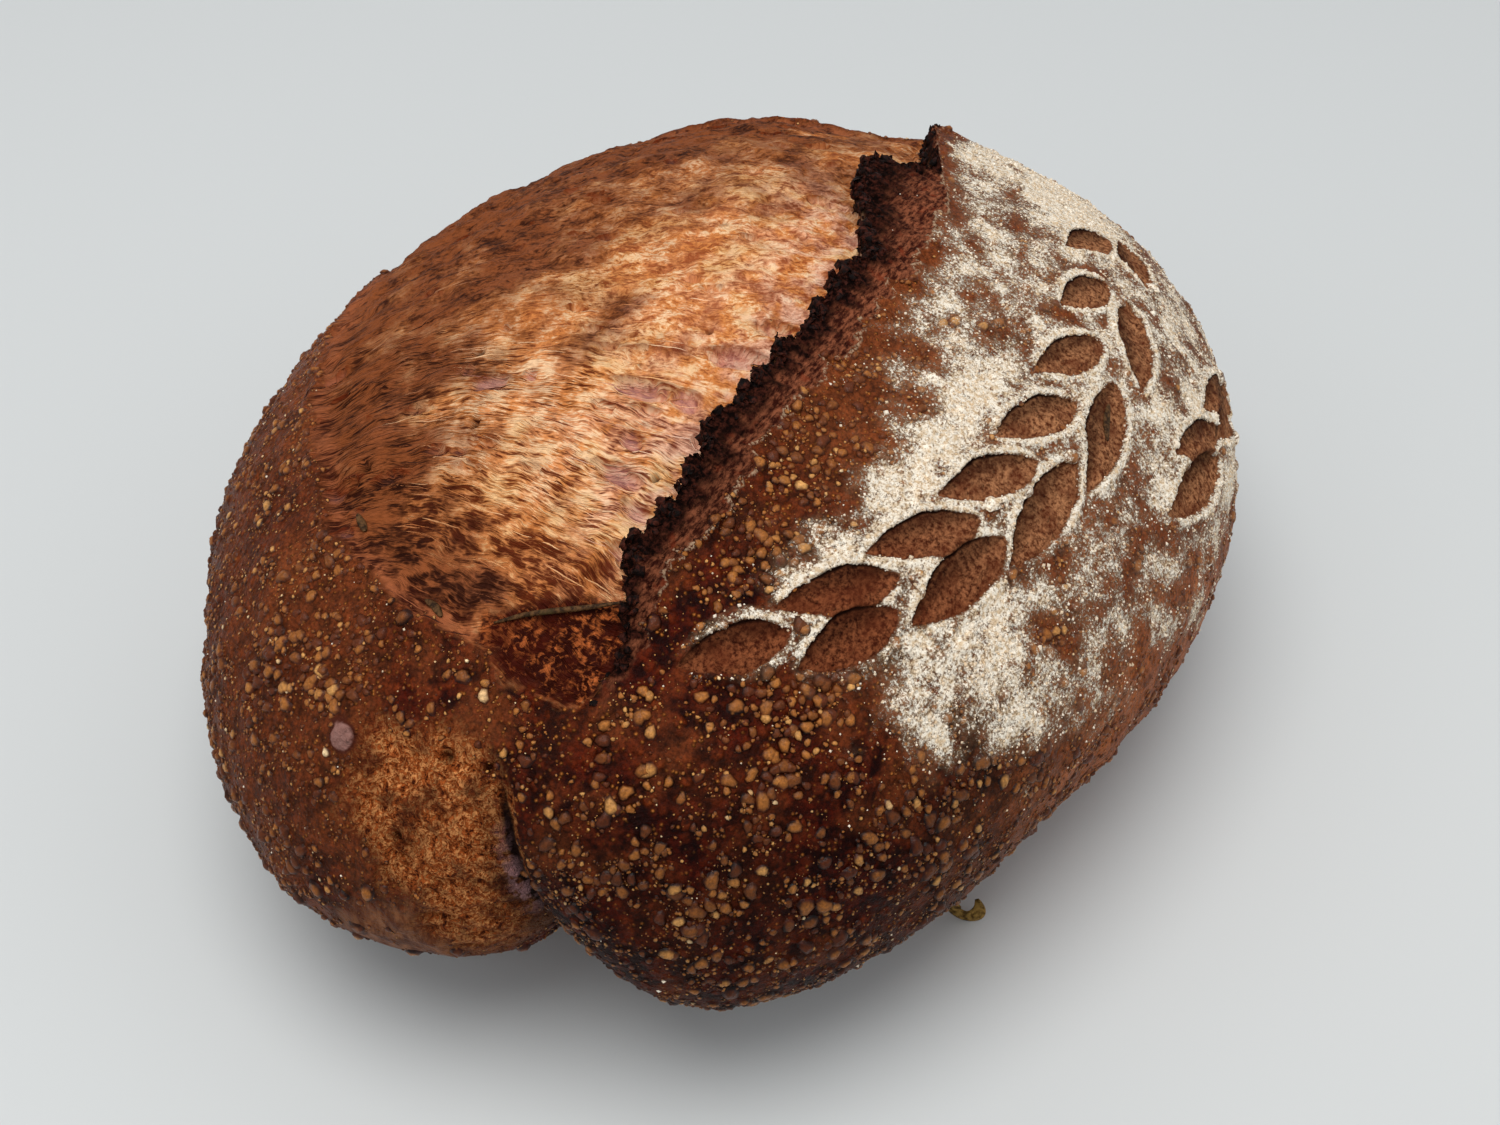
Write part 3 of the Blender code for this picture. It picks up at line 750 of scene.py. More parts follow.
class Look:
    """A material whose nodes are added one call at a time. Sizes are in millimetres."""

    def __init__(self, name, **constants):
        self.material = bpy.data.materials.new(name)
        self.material.use_nodes = True
        self.nodes, self.links = self.material.node_tree.nodes, self.material.node_tree.links
        self.shader = self.nodes["Principled BSDF"]
        for socket, value in constants.items():
            self.shader.inputs[socket.replace("_", " ")].default_value = value
        coordinates = self.nodes.new("ShaderNodeTexCoord")
        self.place = self.scaled(coordinates.outputs["Object"], (1000, 1000, 1000))

    def plug(self, socket, value):
        if isinstance(value, bpy.types.NodeSocket):
            self.links.new(value, socket)
        else:
            socket.default_value = value

    def node(self, kind, *values, operation=None):
        """A node with its first sockets set, and its operation, if it has one."""
        node = self.nodes.new("ShaderNode" + kind)
        if operation:
            node.operation = operation
        for socket, value in zip(node.inputs, values):
            self.plug(socket, value)
        return node

    def scaled(self, vector, by):
        return self.node("VectorMath", vector, by, operation="MULTIPLY").outputs[0]

    def added(self, a, b):
        return self.node("VectorMath", a, b, operation="ADD").outputs[0]

    def joined(self, x, y, z):
        return self.node("CombineXYZ", x, y, z).outputs[0]

    def maths(self, operation, a, b=0.0, clamp=False):
        node = self.node("Math", a, b, operation=operation)
        node.use_clamp = clamp
        return node.outputs[0]

    def times(self, a, b):
        return self.maths("MULTIPLY", a, b)

    def plus(self, a, b):
        return self.maths("ADD", a, b)

    def minus(self, a, b):
        return self.maths("SUBTRACT", a, b)

    def total(self, parts):
        return functools.reduce(self.plus, parts)

    def blend(self, share, a, b):
        """The number a where the share is 1, and b where it is 0."""
        return self.plus(self.times(a, share), self.times(b, self.minus(1.0, share)))

    def swing(self, value, reach):
        """A noise value made to swing to both sides of 0."""
        return self.times(self.minus(value, 0.5), reach)

    def fade(self, value, start, end, low=0.0, high=1.0):
        node = self.node("MapRange", value, start, end, low, high)
        node.interpolation_type = "SMOOTHSTEP"
        return node.outputs[0]

    def ridges(self, value, width):
        """1 where a noise value is at its middle, and 0 from the width on."""
        return self.fade(self.maths("ABSOLUTE", self.minus(value, 0.5)), width, 0.0)

    def mask(self, name):
        node = self.nodes.new("ShaderNodeAttribute")
        node.attribute_name = name
        return node.outputs["Fac"]

    def mix(self, share, a, b):
        node = self.nodes.new("ShaderNodeMix")
        node.data_type = "RGBA"
        for socket, value in ((0, share), (6, a), (7, b)):
            self.plug(node.inputs[socket], value)
        return node.outputs[2]

    def tones(self, value, start, end, first, last):
        """A colour that goes from the first to the last as a value goes from start to end."""
        return self.mix(self.fade(value, start, end), first, last)

    def stain(self, base, value, start, end, share, top):
        """The base with a share of the top colour over it, where a value is high."""
        return self.mix(self.times(self.fade(value, start, end), share), base, top)

    def cover(self, base, mask, top, share=None):
        """The base with the top colour, or a share of it, over it where the mask is."""
        value = self.mask(mask)
        return self.mix(self.times(value, share) if share else value, base, top)

    def shade(self, base, by):
        """The base colour made lighter or darker by a factor."""
        node = self.node("VectorMath", base, operation="SCALE")
        self.plug(node.inputs["Scale"], by)
        return node.outputs[0]

    def mottle(self, base, value, start, end, low, high):
        """The base colour made lighter or darker by a factor that follows a value."""
        return self.shade(base, self.fade(value, start, end, low, high))

    def noise(self, size, detail=2.0, roughness=0.55, at=None, distortion=0.0):
        node = self.nodes.new("ShaderNodeTexNoise")
        settings = {"Vector": at or self.place, "Scale": 1 / size, "Detail": detail, "Roughness": roughness,
                    "Distortion": distortion}
        for socket, value in settings.items():
            self.plug(node.inputs[socket], value)
        return node.outputs[0]

    def cells(self, size, at=None, wobble=0.0):
        """Distance from the middles of random cells, and each cell's random shade."""
        node = self.nodes.new("ShaderNodeTexVoronoi")
        vector = at or self.place
        if wobble:
            shake = self.nodes.new("ShaderNodeTexNoise")
            for socket, value in (("Vector", vector), ("Scale", 2 / size), ("Detail", 0)):
                self.plug(shake.inputs[socket], value)
            vector = self.added(vector, self.scaled(shake.outputs["Color"], (wobble, wobble, wobble)))
        self.plug(node.inputs["Vector"], vector)
        self.plug(node.inputs["Scale"], 1 / size)
        return node.outputs["Distance"], node.outputs["Color"]

    def bump(self, height, distance, strength=1.0):
        node = self.nodes.new("ShaderNodeBump")
        for socket, value in (("Strength", strength), ("Distance", distance * MM), ("Height", height)):
            self.plug(node.inputs[socket], value)
        return node.outputs[0]

    def finish(self, base, roughness, normal=None):
        self.plug(self.shader.inputs["Base Color"], base)
        self.plug(self.shader.inputs["Roughness"], roughness)
        if normal:
            self.plug(self.shader.inputs["Normal"], normal)
        return self.material


DARK_CRUST, RED_CRUST, BROWN_CRUST = colour(28, 2, 0), colour(72, 16, 2), colour(122, 62, 30)
LUMP_CRUST, GOLD_CRUST, RUDDY_CRUST = colour(106, 40, 12), colour(192, 118, 54), colour(168, 96, 52)
FLOUR_WHITE, FLOUR_CREAM = colour(255, 244, 226), colour(218, 190, 154)


def crust_colour(look):
    """The baked skin: dark mahogany with reddish brown lumps, and fine golden specks; also the specks."""
    middle = look.noise(4.0, 4, 0.62)
    lump, shade = look.cells(2.3, wobble=0.7)
    lumps = look.times(look.fade(lump, 0.62, 0.18), look.fade(shade, 0.3, 0.9))
    base = look.tones(middle, 0.40, 0.64, DARK_CRUST, RED_CRUST)
    base = look.mix(look.times(lumps, 0.7), base, LUMP_CRUST)
    base = look.stain(base, look.noise(16, 4, 0.6), 0.48, 0.68, 0.5, BROWN_CRUST)
    base = look.mix(look.times(look.mask("pale"), look.fade(middle, 0.3, 0.6, 0.45, 0.85)), base, BROWN_CRUST)
    distance, _ = look.cells(1.4)
    speck = look.times(look.fade(distance, 0.34, 0.08), look.fade(look.noise(2.6, 2), 0.42, 0.56))
    base = look.mix(look.times(speck, 0.6), base, GOLD_CRUST)
    ruddy = look.times(look.mask("ruddy"), look.fade(middle, 0.3, 0.62, 0.2, 0.75))
    base = look.mix(ruddy, base, RUDDY_CRUST)
    # Painted shade: the skin is darkened on the lower near lobes.
    base = look.mottle(base, look.mask("painted_front_shade"), 0, 1, 1, 0.62)
    return look.mottle(base, look.noise(0.8, 3, 0.65), 0.28, 0.72, 0.5, 1.5), look.plus(speck, lumps)


def flour_over(look, base, strength=1.0):
    """Flour over a colour: a thin haze, then grains of cream and white; also where it lies, and its grain."""
    cover = look.mask("flour")
    grain = look.noise(0.55, 3, 0.75)
    clump = look.noise(3.6, 5, 0.75)
    level = look.plus(look.times(grain, 0.6), look.times(clump, 0.6))
    need = look.minus(0.84, look.times(cover, 0.46 * strength))
    lies = look.fade(look.minus(level, need), -0.07, 0.06)
    lies = look.times(lies, look.fade(cover, 0.02, 0.14))
    haze = look.times(look.times(look.fade(cover, 0.1, 0.75), look.fade(clump, 0.28, 0.55)), 0.75 * strength)
    base = look.mix(haze, base, look.tones(grain, 0.3, 0.7, colour(146, 108, 76), colour(190, 158, 124)))
    white = look.tones(look.noise(1.1, 3, 0.6), 0.34, 0.6, FLOUR_CREAM, FLOUR_WHITE)
    white = look.stain(white, look.noise(0.5, 2, 0.6), 0.55, 0.66, 0.7, colour(140, 106, 74))
    return look.mix(lies, base, white), lies, grain


def strands_tone(look):
    """Light strands over dark gaps, 0 to 1: a web at the far end, then drawn out, with painted shade in
    pockets at the near end.

    Also the strands alone, for the relief: a bump reads its height three times, so it takes the cheaper one.
    """
    lengthwise = look.mask("lengthwise")
    bends = look.plus(look.swing(look.noise(18, 2, 0.5), 9.0), look.swing(look.noise(5, 1, 0.5), 1.6))
    across = look.plus(look.mask("across"), bends)
    combed_layers, web_layers, pocket_shade_layers = [], [], []
    for size, stretch, weight in ((2.8, 0.17, 0.28), (1.2, 0.14, 0.38), (0.55, 0.13, 0.34)):
        layer = look.noise(size, 2, 0.55, at=look.joined(across, look.times(lengthwise, stretch), size))
        combed_layers.append(look.times(look.ridges(layer, 0.15), weight))
    short = look.joined(across, look.times(lengthwise, 0.6), 0.0)
    for size, weight in ((4.0, 0.28), (1.7, 0.34), (0.7, 0.38)):
        layer = look.noise(size, 3, 0.6, at=short, distortion=0.6)
        web_layers.append(look.times(look.fade(layer, 0.30, 0.68), weight))
    # Painted shade in pockets: dark cell middles with lighter rims, in colour only, for no relief follows
    # them.
    drawn = look.joined(across, look.times(lengthwise, 0.5), 0.0)
    for size, weight in ((3.6, 0.44), (1.4, 0.36)):
        depth, _ = look.cells(size, at=drawn, wobble=1.5)
        pocket_shade_layers.append(look.times(look.fade(depth, 0.36, 0.90), weight))
    strands = look.total(combed_layers)
    pocket_shade = look.plus(look.total(pocket_shade_layers), look.times(look.minus(strands, 0.25), 0.55))
    share = look.fade(look.plus(look.mask("near"), look.swing(look.noise(14, 3), 1.6)), 0.1, 0.9)
    drawn_out = look.blend(share, strands, look.total(web_layers))
    torn = look.fade(look.plus(look.mask("kneaded"), look.swing(look.noise(9, 3), 1.2)), 0.2, 0.8)
    tone = look.blend(torn, pocket_shade, drawn_out)
    clump = look.fade(look.noise(6.5, 4, 0.65), 0.34, 0.66, 0.6, 1.35)
    return look.maths("MULTIPLY", tone, clump, clamp=True), drawn_out


def crumb_colour(look, tone):
    """The torn crumb: golden peach, rosy beside the ear, brown where toasted, dark amber at its near end."""
    gaps = look.tones(look.mask("near"), 0.1, 0.8, colour(158, 80, 40), colour(98, 36, 10))
    light = look.tones(tone, 0.14, 0.56, gaps, colour(222, 138, 74))
    # The brightest strand tops get a painted highlight.
    light = look.stain(light, tone, 0.50, 0.92, 0.9, colour(255, 214, 168))
    golden = look.tones(tone, 0.14, 0.7, colour(130, 62, 20), colour(236, 184, 120))
    light = look.stain(light, look.noise(13, 3), 0.46, 0.66, 0.5, golden)
    amber = look.tones(tone, 0.16, 0.66, colour(92, 36, 12), colour(198, 118, 62))
    amber = look.tones(tone, 0.66, 0.95, amber, colour(236, 176, 116))
    light = look.cover(light, "kneaded", amber, 0.9)
    brown = look.tones(tone, 0.1, 0.7, colour(44, 15, 5), colour(138, 74, 38))
    toasted = look.plus(look.mask("toast"), look.swing(look.noise(10, 5, 0.65), 1.6))
    base = look.tones(toasted, 0.0, 0.95, light, brown)
    pale = look.tones(tone, 0.1, 0.65, colour(154, 82, 58), colour(246, 204, 186))
    rosy = look.times(look.mask("beside"), look.fade(look.noise(6, 3, 0.6), 0.38, 0.6))
    base = look.mix(look.times(rosy, 0.75), base, pale)
    rim = look.tones(tone, 0.1, 0.7, colour(60, 18, 8), colour(160, 90, 56))
    base = look.cover(base, "edge", rim, 0.8)
    frayed = look.fade(look.noise(1.5, 4, 0.65, distortion=0.7), 0.36, 0.66)
    ember_tone = look.plus(look.times(frayed, 0.5), look.times(tone, 0.5))
    ember = look.tones(ember_tone, 0.34, 0.9, colour(46, 9, 2), colour(186, 98, 48))
    ember = look.stain(ember, look.noise(5, 3), 0.42, 0.60, 0.75, colour(64, 15, 4))
    base = look.cover(base, "tongue", ember)
    base = look.cover(base, "bubbles", colour(188, 132, 126), 0.65)
    # Painted shade along the bubbles' upper rims.
    return look.cover(base, "shaded_brows", colour(112, 40, 10), 0.8)


def torn_patch(look):
    """The near lobe's torn patch: a curly amber web over dark gaps; also its finer curls, for the relief."""
    curl = look.ridges(look.noise(2.8, 4, 0.62, distortion=1.2), 0.13)
    small = look.ridges(look.noise(1.1, 3, 0.6, distortion=0.8), 0.14)
    pocket, _ = look.cells(2.4, wobble=1.4)
    pocket_tone = look.fade(pocket, 0.1, 0.6)
    web = look.total((look.times(curl, 0.4), look.times(small, 0.35), look.times(pocket_tone, 0.25)))
    torn = look.tones(web, 0.14, 0.62, colour(58, 18, 4), colour(166, 82, 34))
    # The web's highest parts get a painted highlight.
    torn = look.tones(web, 0.6, 0.92, torn, colour(214, 142, 84))
    torn = look.stain(torn, look.noise(8, 4, 0.65), 0.46, 0.66, 0.75, colour(74, 30, 14))
    # Painted shade: the torn patch is darker low on the lobe and lighter above.
    return look.mottle(torn, look.mask("painted_front_shade"), 0, 0.6, 1.15, 0.78), small


def leaf_floors(look, base, fuzz):
    """The leaf cuts' fuzzy brown floors over the base colour, with painted shade from their depth: darker
    under their upper lips, lighter towards their lower rims.
    """
    far_floor = look.tones(fuzz, 0.34, 0.66, colour(76, 34, 16), colour(172, 118, 80))
    near_floor = look.tones(fuzz, 0.34, 0.66, colour(52, 16, 6), colour(134, 76, 46))
    floor = look.cover(far_floor, "near", near_floor)
    floor = look.stain(floor, look.noise(5, 3), 0.42, 0.68, 0.65, colour(84, 36, 18))
    # Painted shade: each floor is darker where it lies deep and lighter where it is shallow.
    return look.cover(base, "leaf", look.mottle(floor, look.mask("sunk"), 0, 1, 1.2, 0.5))


def lobe_and_fold(look, base):
    """The left lobe's heel and bubble, over the base colour, with painted shade in the fold beside it and
    under the lobe that overhangs it.
    """
    bands = look.noise(2.2, 4, 0.7, at=look.scaled(look.place, (1.0, 1.0, 0.3)))
    heel = look.tones(bands, 0.34, 0.66, colour(84, 42, 22), colour(142, 92, 60))
    heel = look.stain(heel, look.noise(6, 3), 0.5, 0.66, 0.7, colour(62, 26, 14))
    base = look.cover(base, "heel", heel, 0.85)
    base = look.tones(look.mask("bubble"), 0.0, 0.5, base, colour(72, 30, 18))
    pink = look.mix(look.noise(1.0, 3), colour(110, 68, 60), colour(168, 126, 116))
    base = look.tones(look.mask("bubble"), 0.55, 1.0, base, pink)
    # Painted shadow under the overhanging right lobe.
    base = look.mottle(base, look.mask("overhang_shadow"), 0.0, 1.0, 1.0, 0.5)
    # Painted shade: the fold between the lobes is near black.
    base = look.tones(look.mask("crease"), 0.3, 0.8, base, colour(22, 5, 2))
    lilac = look.times(look.mask("lilac"), look.fade(look.noise(2.4, 3), 0.44, 0.56))
    return look.mix(look.times(lilac, 0.85), base, colour(158, 118, 120))


def ear_colours(look, base):
    """The flap with its burnt free edge and its flecked ridge, over the base colour."""
    layers = look.noise(0.9, 4, 0.7, at=look.scaled(look.place, (0.35, 1.0, 1.0)))
    flap = look.tones(layers, 0.38, 0.66, colour(42, 12, 6), colour(126, 72, 48))
    flap = look.stain(flap, look.noise(3.4, 3), 0.56, 0.72, 0.6, colour(110, 40, 18))
    flap = look.mottle(flap, look.mask("near"), 0, 1, 1.35, 1.0)
    burnt = look.tones(look.noise(1.2, 4, 0.7), 0.42, 0.72, colour(9, 2, 1), colour(70, 32, 22))
    base = look.cover(base, "flap", look.cover(flap, "burnt", burnt))
    flecks = look.fade(look.noise(0.7, 2, 0.6), 0.42, 0.56)
    return look.stain(base, look.mask("ridge"), 0.3, 0.9, look.times(flecks, 0.85), colour(176, 148, 120))


def loaf_material():
    look = Look("loaf_crust", Specular_IOR_Level=0.05)
    skin, speck = crust_colour(look)
    fuzz = look.noise(0.9, 4, 0.72)
    base, floured, grain = flour_over(look, leaf_floors(look, skin, fuzz))
    # Painted shadow under the leaf cuts' upper rims, near black.
    base = look.tones(look.mask("rim_shadow"), 0.3, 0.9, base, colour(26, 8, 3))
    tone, strands = strands_tone(look)
    base = look.cover(base, "bloom", crumb_colour(look, tone))
    torn, curls = torn_patch(look)
    base = look.cover(base, "patch", torn)
    base = ear_colours(look, lobe_and_fold(look, base))
    # Painted shade inside each hole, near black.
    base = look.cover(base, "shaded_holes", colour(26, 8, 4), 0.9)

    bloom, patch, leaf = look.mask("bloom"), look.mask("patch"), look.mask("leaf")
    pebbles = look.plus(look.noise(1.2, 4, 0.65), look.times(speck, 0.8))
    relief = look.total((
        look.times(strands, bloom),
        look.times(pebbles, look.minus(1.0, bloom)),
        look.times(look.times(curls, patch), 0.8),
        look.times(look.times(floured, grain), 0.7),
        look.times(look.times(fuzz, leaf), 0.8),
    ))
    rough_skin = look.mix(look.maths("MAXIMUM", bloom, patch), grey(0.42), grey(0.6))
    dull = look.maths("MAXIMUM", floured, look.maths("MAXIMUM", leaf, look.mask("flap")))
    return look.finish(base, look.mix(dull, rough_skin, grey(0.9)), look.bump(relief, 0.6))


def blister_material():
    look = Look("blister_crust", Specular_IOR_Level=0.16)
    skin, _ = crust_colour(look)
    tint = look.mask("tint")
    top = look.tones(tint, 0.15, 0.6, colour(90, 40, 14), colour(166, 102, 44))
    top = look.tones(tint, 0.6, 0.85, top, colour(214, 156, 88))
    top = look.tones(tint, 0.88, 1.0, top, colour(248, 216, 168))
    bumps = look.noise(0.6, 3, 0.65)
    top = look.mottle(top, bumps, 0.3, 0.7, 0.65, 1.25)
    top = look.cover(top, "pale", BROWN_CRUST, 0.2)
    # Painted shade: blister tops are darker on the lower near lobes.
    top = look.mottle(top, look.mask("painted_front_shade"), 0, 1, 1, 0.68)
    # Each dome darkens towards its foot as painted shade; its top keeps the blister's own golden colour.
    base = look.tones(look.mask("height"), 0.3, 1.0, look.shade(skin, 0.6), top)
    base, floured, _ = flour_over(look, base, 0.85)
    normal = look.bump(look.plus(bumps, look.times(floured, 0.5)), 0.2, 0.8)
    return look.finish(base, look.mix(floured, grey(0.32), grey(0.9)), normal)


def flour_material():
    look = Look("flour_grains", Specular_IOR_Level=0.15)
    white = look.mix(look.mask("tint"), FLOUR_CREAM, FLOUR_WHITE)
    return look.finish(look.mottle(white, look.noise(0.4, 2), 0.3, 0.7, 0.85, 1.08), 0.95)


def strand_material():
    look = Look("crumb_strands", Specular_IOR_Level=0.15)
    base = crumb_colour(look, look.mask("tint"))
    base = look.mottle(base, look.noise(0.7, 3, 0.6), 0.3, 0.7, 0.85, 1.1)
    return look.finish(base, 0.6, look.bump(look.noise(0.35, 2), 0.08))


def char_material():
    look = Look("charred_crumbs", Specular_IOR_Level=0.1)
    base = look.tones(look.noise(1.5, 4, 0.7), 0.42, 0.7, colour(9, 2, 1), colour(74, 30, 18))
    return look.finish(base, 0.6, look.bump(look.noise(0.5, 3, 0.6), 0.3))


def herb_material():
    look = Look("dried_herb", Specular_IOR_Level=0.1)
    grain = look.noise(0.9, 3, 0.6)
    base = look.tones(grain, 0.35, 0.65, colour(42, 26, 13), colour(96, 66, 38))
    base = look.tones(look.noise(4, 2), 0.55, 0.75, base, colour(66, 54, 28))
    return look.finish(base, 0.6, look.bump(grain, 0.15))


def dry_leaf_material():
    look = Look("dry_leaf", Specular_IOR_Level=0.1)
    base = look.tones(look.noise(1.2, 3), 0.35, 0.65, colour(74, 52, 20), colour(156, 122, 62))
    return look.finish(base, 0.6, look.bump(look.noise(0.6, 3), 0.2))


# The pieces

def make_loaf():
    d, triangles = fine_sphere()
    points, masks = shape_loaf(d)
    normals = vertex_normals(points, triangles)
    piece = make_piece("crust_and_crumb", points, triangles, loaf_material(), masks)
    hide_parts("loaf")
    return points, triangles, normals, masks


# Blisters: name, count, seeds of places and of shapes, mean and spread of tint, flatness, sides of a dome,
# whether they gather in the clusters, and the dome's rings, as shares of its radius and of its height
BLISTER_KINDS = (
    ("broad_blisters", 1000, 22, 26, 0.37, 0.2, 0.5, 9, True,
     ((0.3, 0.95), (0.58, 0.78), (0.82, 0.42), (1.0, 0.02), (1.12, -0.4))),
    ("blisters", 4600, 23, 27, 0.42, 0.22, 0.58, 8, True,
     ((0.36, 0.93), (0.68, 0.66), (0.92, 0.22), (1.1, -0.4))),
    ("small_blisters", 7800, 25, 29, 0.48, 0.24, 0.65, 5, False,
     ((0.5, 0.82), (0.85, 0.36), (1.1, -0.4))),
    ("fine_blisters", 13000, 24, 28, 0.54, 0.22, 0.7, 5, False,
     ((0.6, 0.66), (1.1, -0.4))),
)
BLISTER_ROOM = 0.82  # least distance between clustered blisters, as a share of their two radii


def blister_radius(name, rng, count, there):
    """Random radii for a kind of blister, at places with the masks there."""
    if name == "broad_blisters":
        return rng.uniform(0.75, 1.65, count) * (1 + 0.2 * there["painted_front_shade"])
    if name == "blisters":
        return np.clip(rng.lognormal(-0.42, 0.3, count), 0.4, 1.3) * (0.75 + 0.3 * there["blisters"])
    if name == "small_blisters":
        return rng.uniform(0.26, 0.6, count)
    return rng.uniform(0.13, 0.3, count)


def make_blisters(loaf):
    """One piece of domes for each kind of blister, with the masks that their material reads."""
    points, _, _, masks = loaf
    bare = (1 - masks["flap"]) * (1 - masks["crease"]) * ramp(points[:, 2], 1.5, 8)
    chance = masks["blisters"] ** 1.3 * bare * (1 - 0.6 * masks["flour"])
    patchy = np.clip(0.5 + 2.0 * rough(points, 7, 90), 0.05, 2.6)
    patchy = patchy * np.clip(0.7 + 1.6 * noise(points, 3.4, 94), 0.12, 2.2)
    clusters = 1 + 5 * sum(hump(points, spot, (7, 7, 7)) for spot in BLISTER_CLUSTERS)
    material = blister_material()
    rng = np.random.default_rng(21)
    for name, count, place_seed, seed, mean, spread, flatness, sides, clustered, rings in BLISTER_KINDS:
        odds = chance * patchy * clusters if clustered else chance * (0.3 + patchy)
        spot, normal, there = scatter(loaf, count, odds, place_seed)
        radius = blister_radius(name, rng, count, there)
        tint = rng.normal(mean, spread, count)
        kept = without_overlap(spot, radius, BLISTER_ROOM) if clustered else np.arange(count)
        spot, normal, radius, tint = spot[kept], normal[kept], radius[kept], tint[kept]
        height = radius * flatness * np.random.default_rng(seed).uniform(0.75, 1.25, len(kept))
        made, triangles, share, size = domes(spot, normal, radius, height, rings, sides, seed + 1)
        carried = {mask: np.repeat(there[mask][kept], size) for mask in ("flour", "pale", "painted_front_shade")}
        carried.update(height=share, tint=np.repeat(np.clip(tint, 0, 1), size))
        make_piece(name, made, triangles, material, carried)


def make_flour(loaf):
    masks = loaf[3]
    rng = np.random.default_rng(31)
    spot, normal, _ = scatter(loaf, 9000, masks["flour"] ** 1.6 + 0.002 * masks["blisters"], 32)
    radius = rng.lognormal(-1.45, 0.35, len(spot))
    first, second = side_axes(normal)
    corners = [first, second, -first, -second, normal * 0.8, -normal]
    ends = [spot + corner * (radius * rng.uniform(0.7, 1.3, len(spot)))[:, None] for corner in corners]
    points = np.stack(ends, 1)
    faces = [(0, 1, 4), (1, 2, 4), (2, 3, 4), (3, 0, 4), (1, 0, 5), (2, 1, 5), (3, 2, 5), (0, 3, 5)]
    triangles = repeated(faces, len(spot), len(corners))
    tint = np.repeat(rng.random(len(spot)), len(corners))
    make_piece("flour_grains", points.reshape(-1, 3), triangles, flour_material(), {"tint": tint})


def surface_tree(loaf):
    points, triangles = loaf[0], loaf[1]
    return BVHTree.FromPolygons([Vector(p) for p in points], triangles.tolist())


def tubes(paths, normals, radius, sides=3):
    """Thin tapering tubes along paths of shape (count, steps, 3): points, triangles, and points in each."""
    count, steps = paths.shape[:2]
    ahead = np.gradient(paths, axis=1)
    ahead /= np.maximum(np.linalg.norm(ahead, axis=2, keepdims=True), 1e-9)
    across = np.cross(ahead, normals)
    across /= np.maximum(np.linalg.norm(across, axis=2, keepdims=True), 1e-9)
    up = np.cross(across, ahead)
    taper = np.sin(math.pi * np.linspace(0.04, 0.96, steps)) ** 0.5
    points = []
    for side in range(sides):
        turn = 2 * math.pi * side / sides + math.pi / 2
        offset = across * math.cos(turn) * 1.2 + up * math.sin(turn) * 0.8
        points.append(paths + offset * (radius[:, None] * taper)[:, :, None])
    points = np.stack(points, 2)
    faces = []
    for step in range(steps - 1):
        for side in range(sides):
            a, b = step * sides + side, step * sides + (side + 1) % sides
            faces += [(a, b, b + sides), (a, b + sides, a + sides)]
    size = steps * sides
    return points.reshape(-1, 3), repeated(faces, count, size), size


def follow_strands(tree, spot, count, steps, stride, wander, seed):
    """Paths on the loaf along its torn strands from each spot, and the normals there."""
    rng = np.random.default_rng(seed)
    swing = rng.normal(0, wander, count)
    here = spot.copy()
    path, normals = [], []
    for _ in range(steps):
        hits = [tree.find_nearest(Vector(point)) for point in here]
        here = np.array([hit[0] for hit in hits])
        normal = np.array([hit[1] for hit in hits])
        path.append(here)
        normals.append(normal)
        base = here - (MIDDLE_X, 0, 0)
        slopes = []
        for step in ((0.5, 0, 0), (0, 0.5, 0)):
            slopes.append(strand_place(base + step)[0] - strand_place(base - step)[0])
        turn = np.arctan2(slopes[0], -slopes[1]) + swing
        swing = swing * 0.7 + rng.normal(0, wander, count)
        ahead = np.stack([np.cos(turn), np.sin(turn), np.zeros(count)], 1)
        ahead -= normal * (ahead * normal).sum(1)[:, None]
        ahead /= np.maximum(np.linalg.norm(ahead, axis=1, keepdims=True), 1e-9)
        here = here + ahead * stride[:, None]
    return np.stack(path, 1), np.stack(normals, 1)


def make_strands(loaf, tree):
    """Thin torn strands that lie on the bloom."""
    masks = loaf[3]
    rng = np.random.default_rng(41)
    torn = masks["bloom"] * (1 - masks["shaded_holes"]) * (1 - masks["tongue"]) * ramp(-loaf[0][:, 0], -10, 60)
    count, steps = 600, 10
    arch = np.sin(math.pi * np.linspace(0, 1, steps)) ** 0.7
    spot, _, there = scatter(loaf, count, torn, 42)
    path, normals = follow_strands(tree, spot, count, steps, rng.uniform(0.35, 1.2, count), 0.1, 43)
    raised = rng.uniform(-0.08, 0.16, count)
    path = path + normals * (raised[:, None] * arch - 0.10)[:, :, None]
    points, triangles, size = tubes(path, normals, rng.uniform(0.09, 0.21, count))
    carried = {name: np.repeat(there[name], size)
               for name in ("toast", "beside", "near", "kneaded", "edge", "bubbles", "shaded_brows", "tongue")}
    carried["tint"] = np.repeat(np.clip(rng.normal(0.62, 0.25, count), 0, 1), size)
    make_piece("crumb_strands", points, triangles, strand_material(), carried)


def make_char_crumbs(loaf):
    points, masks = loaf[0], loaf[3]
    rng = np.random.default_rng(51)
    base = points - (MIDDLE_X, 0, 0)
    chance = masks["flap"] * np.exp(-(past_flap(base - (0, 2, 0)) / 1.8) ** 2)
    spot, normal, _ = scatter(loaf, 1100, chance, 52)
    radius = np.clip(rng.lognormal(-0.6, 0.42, len(spot)), 0.25, 1.6)
    rings = ((0.5, 0.85), (0.9, 0.35), (1.0, -0.4))
    height = radius * rng.uniform(0.3, 1.1, len(spot))
    made, triangles, _, _ = domes(spot, normal, radius, height, rings, 7, 53)
    made = made + 0.75 * np.stack([noise(made, 1.1, seed) for seed in (91, 92, 93)], 1)
    make_piece("charred_crumbs", made, triangles, char_material())


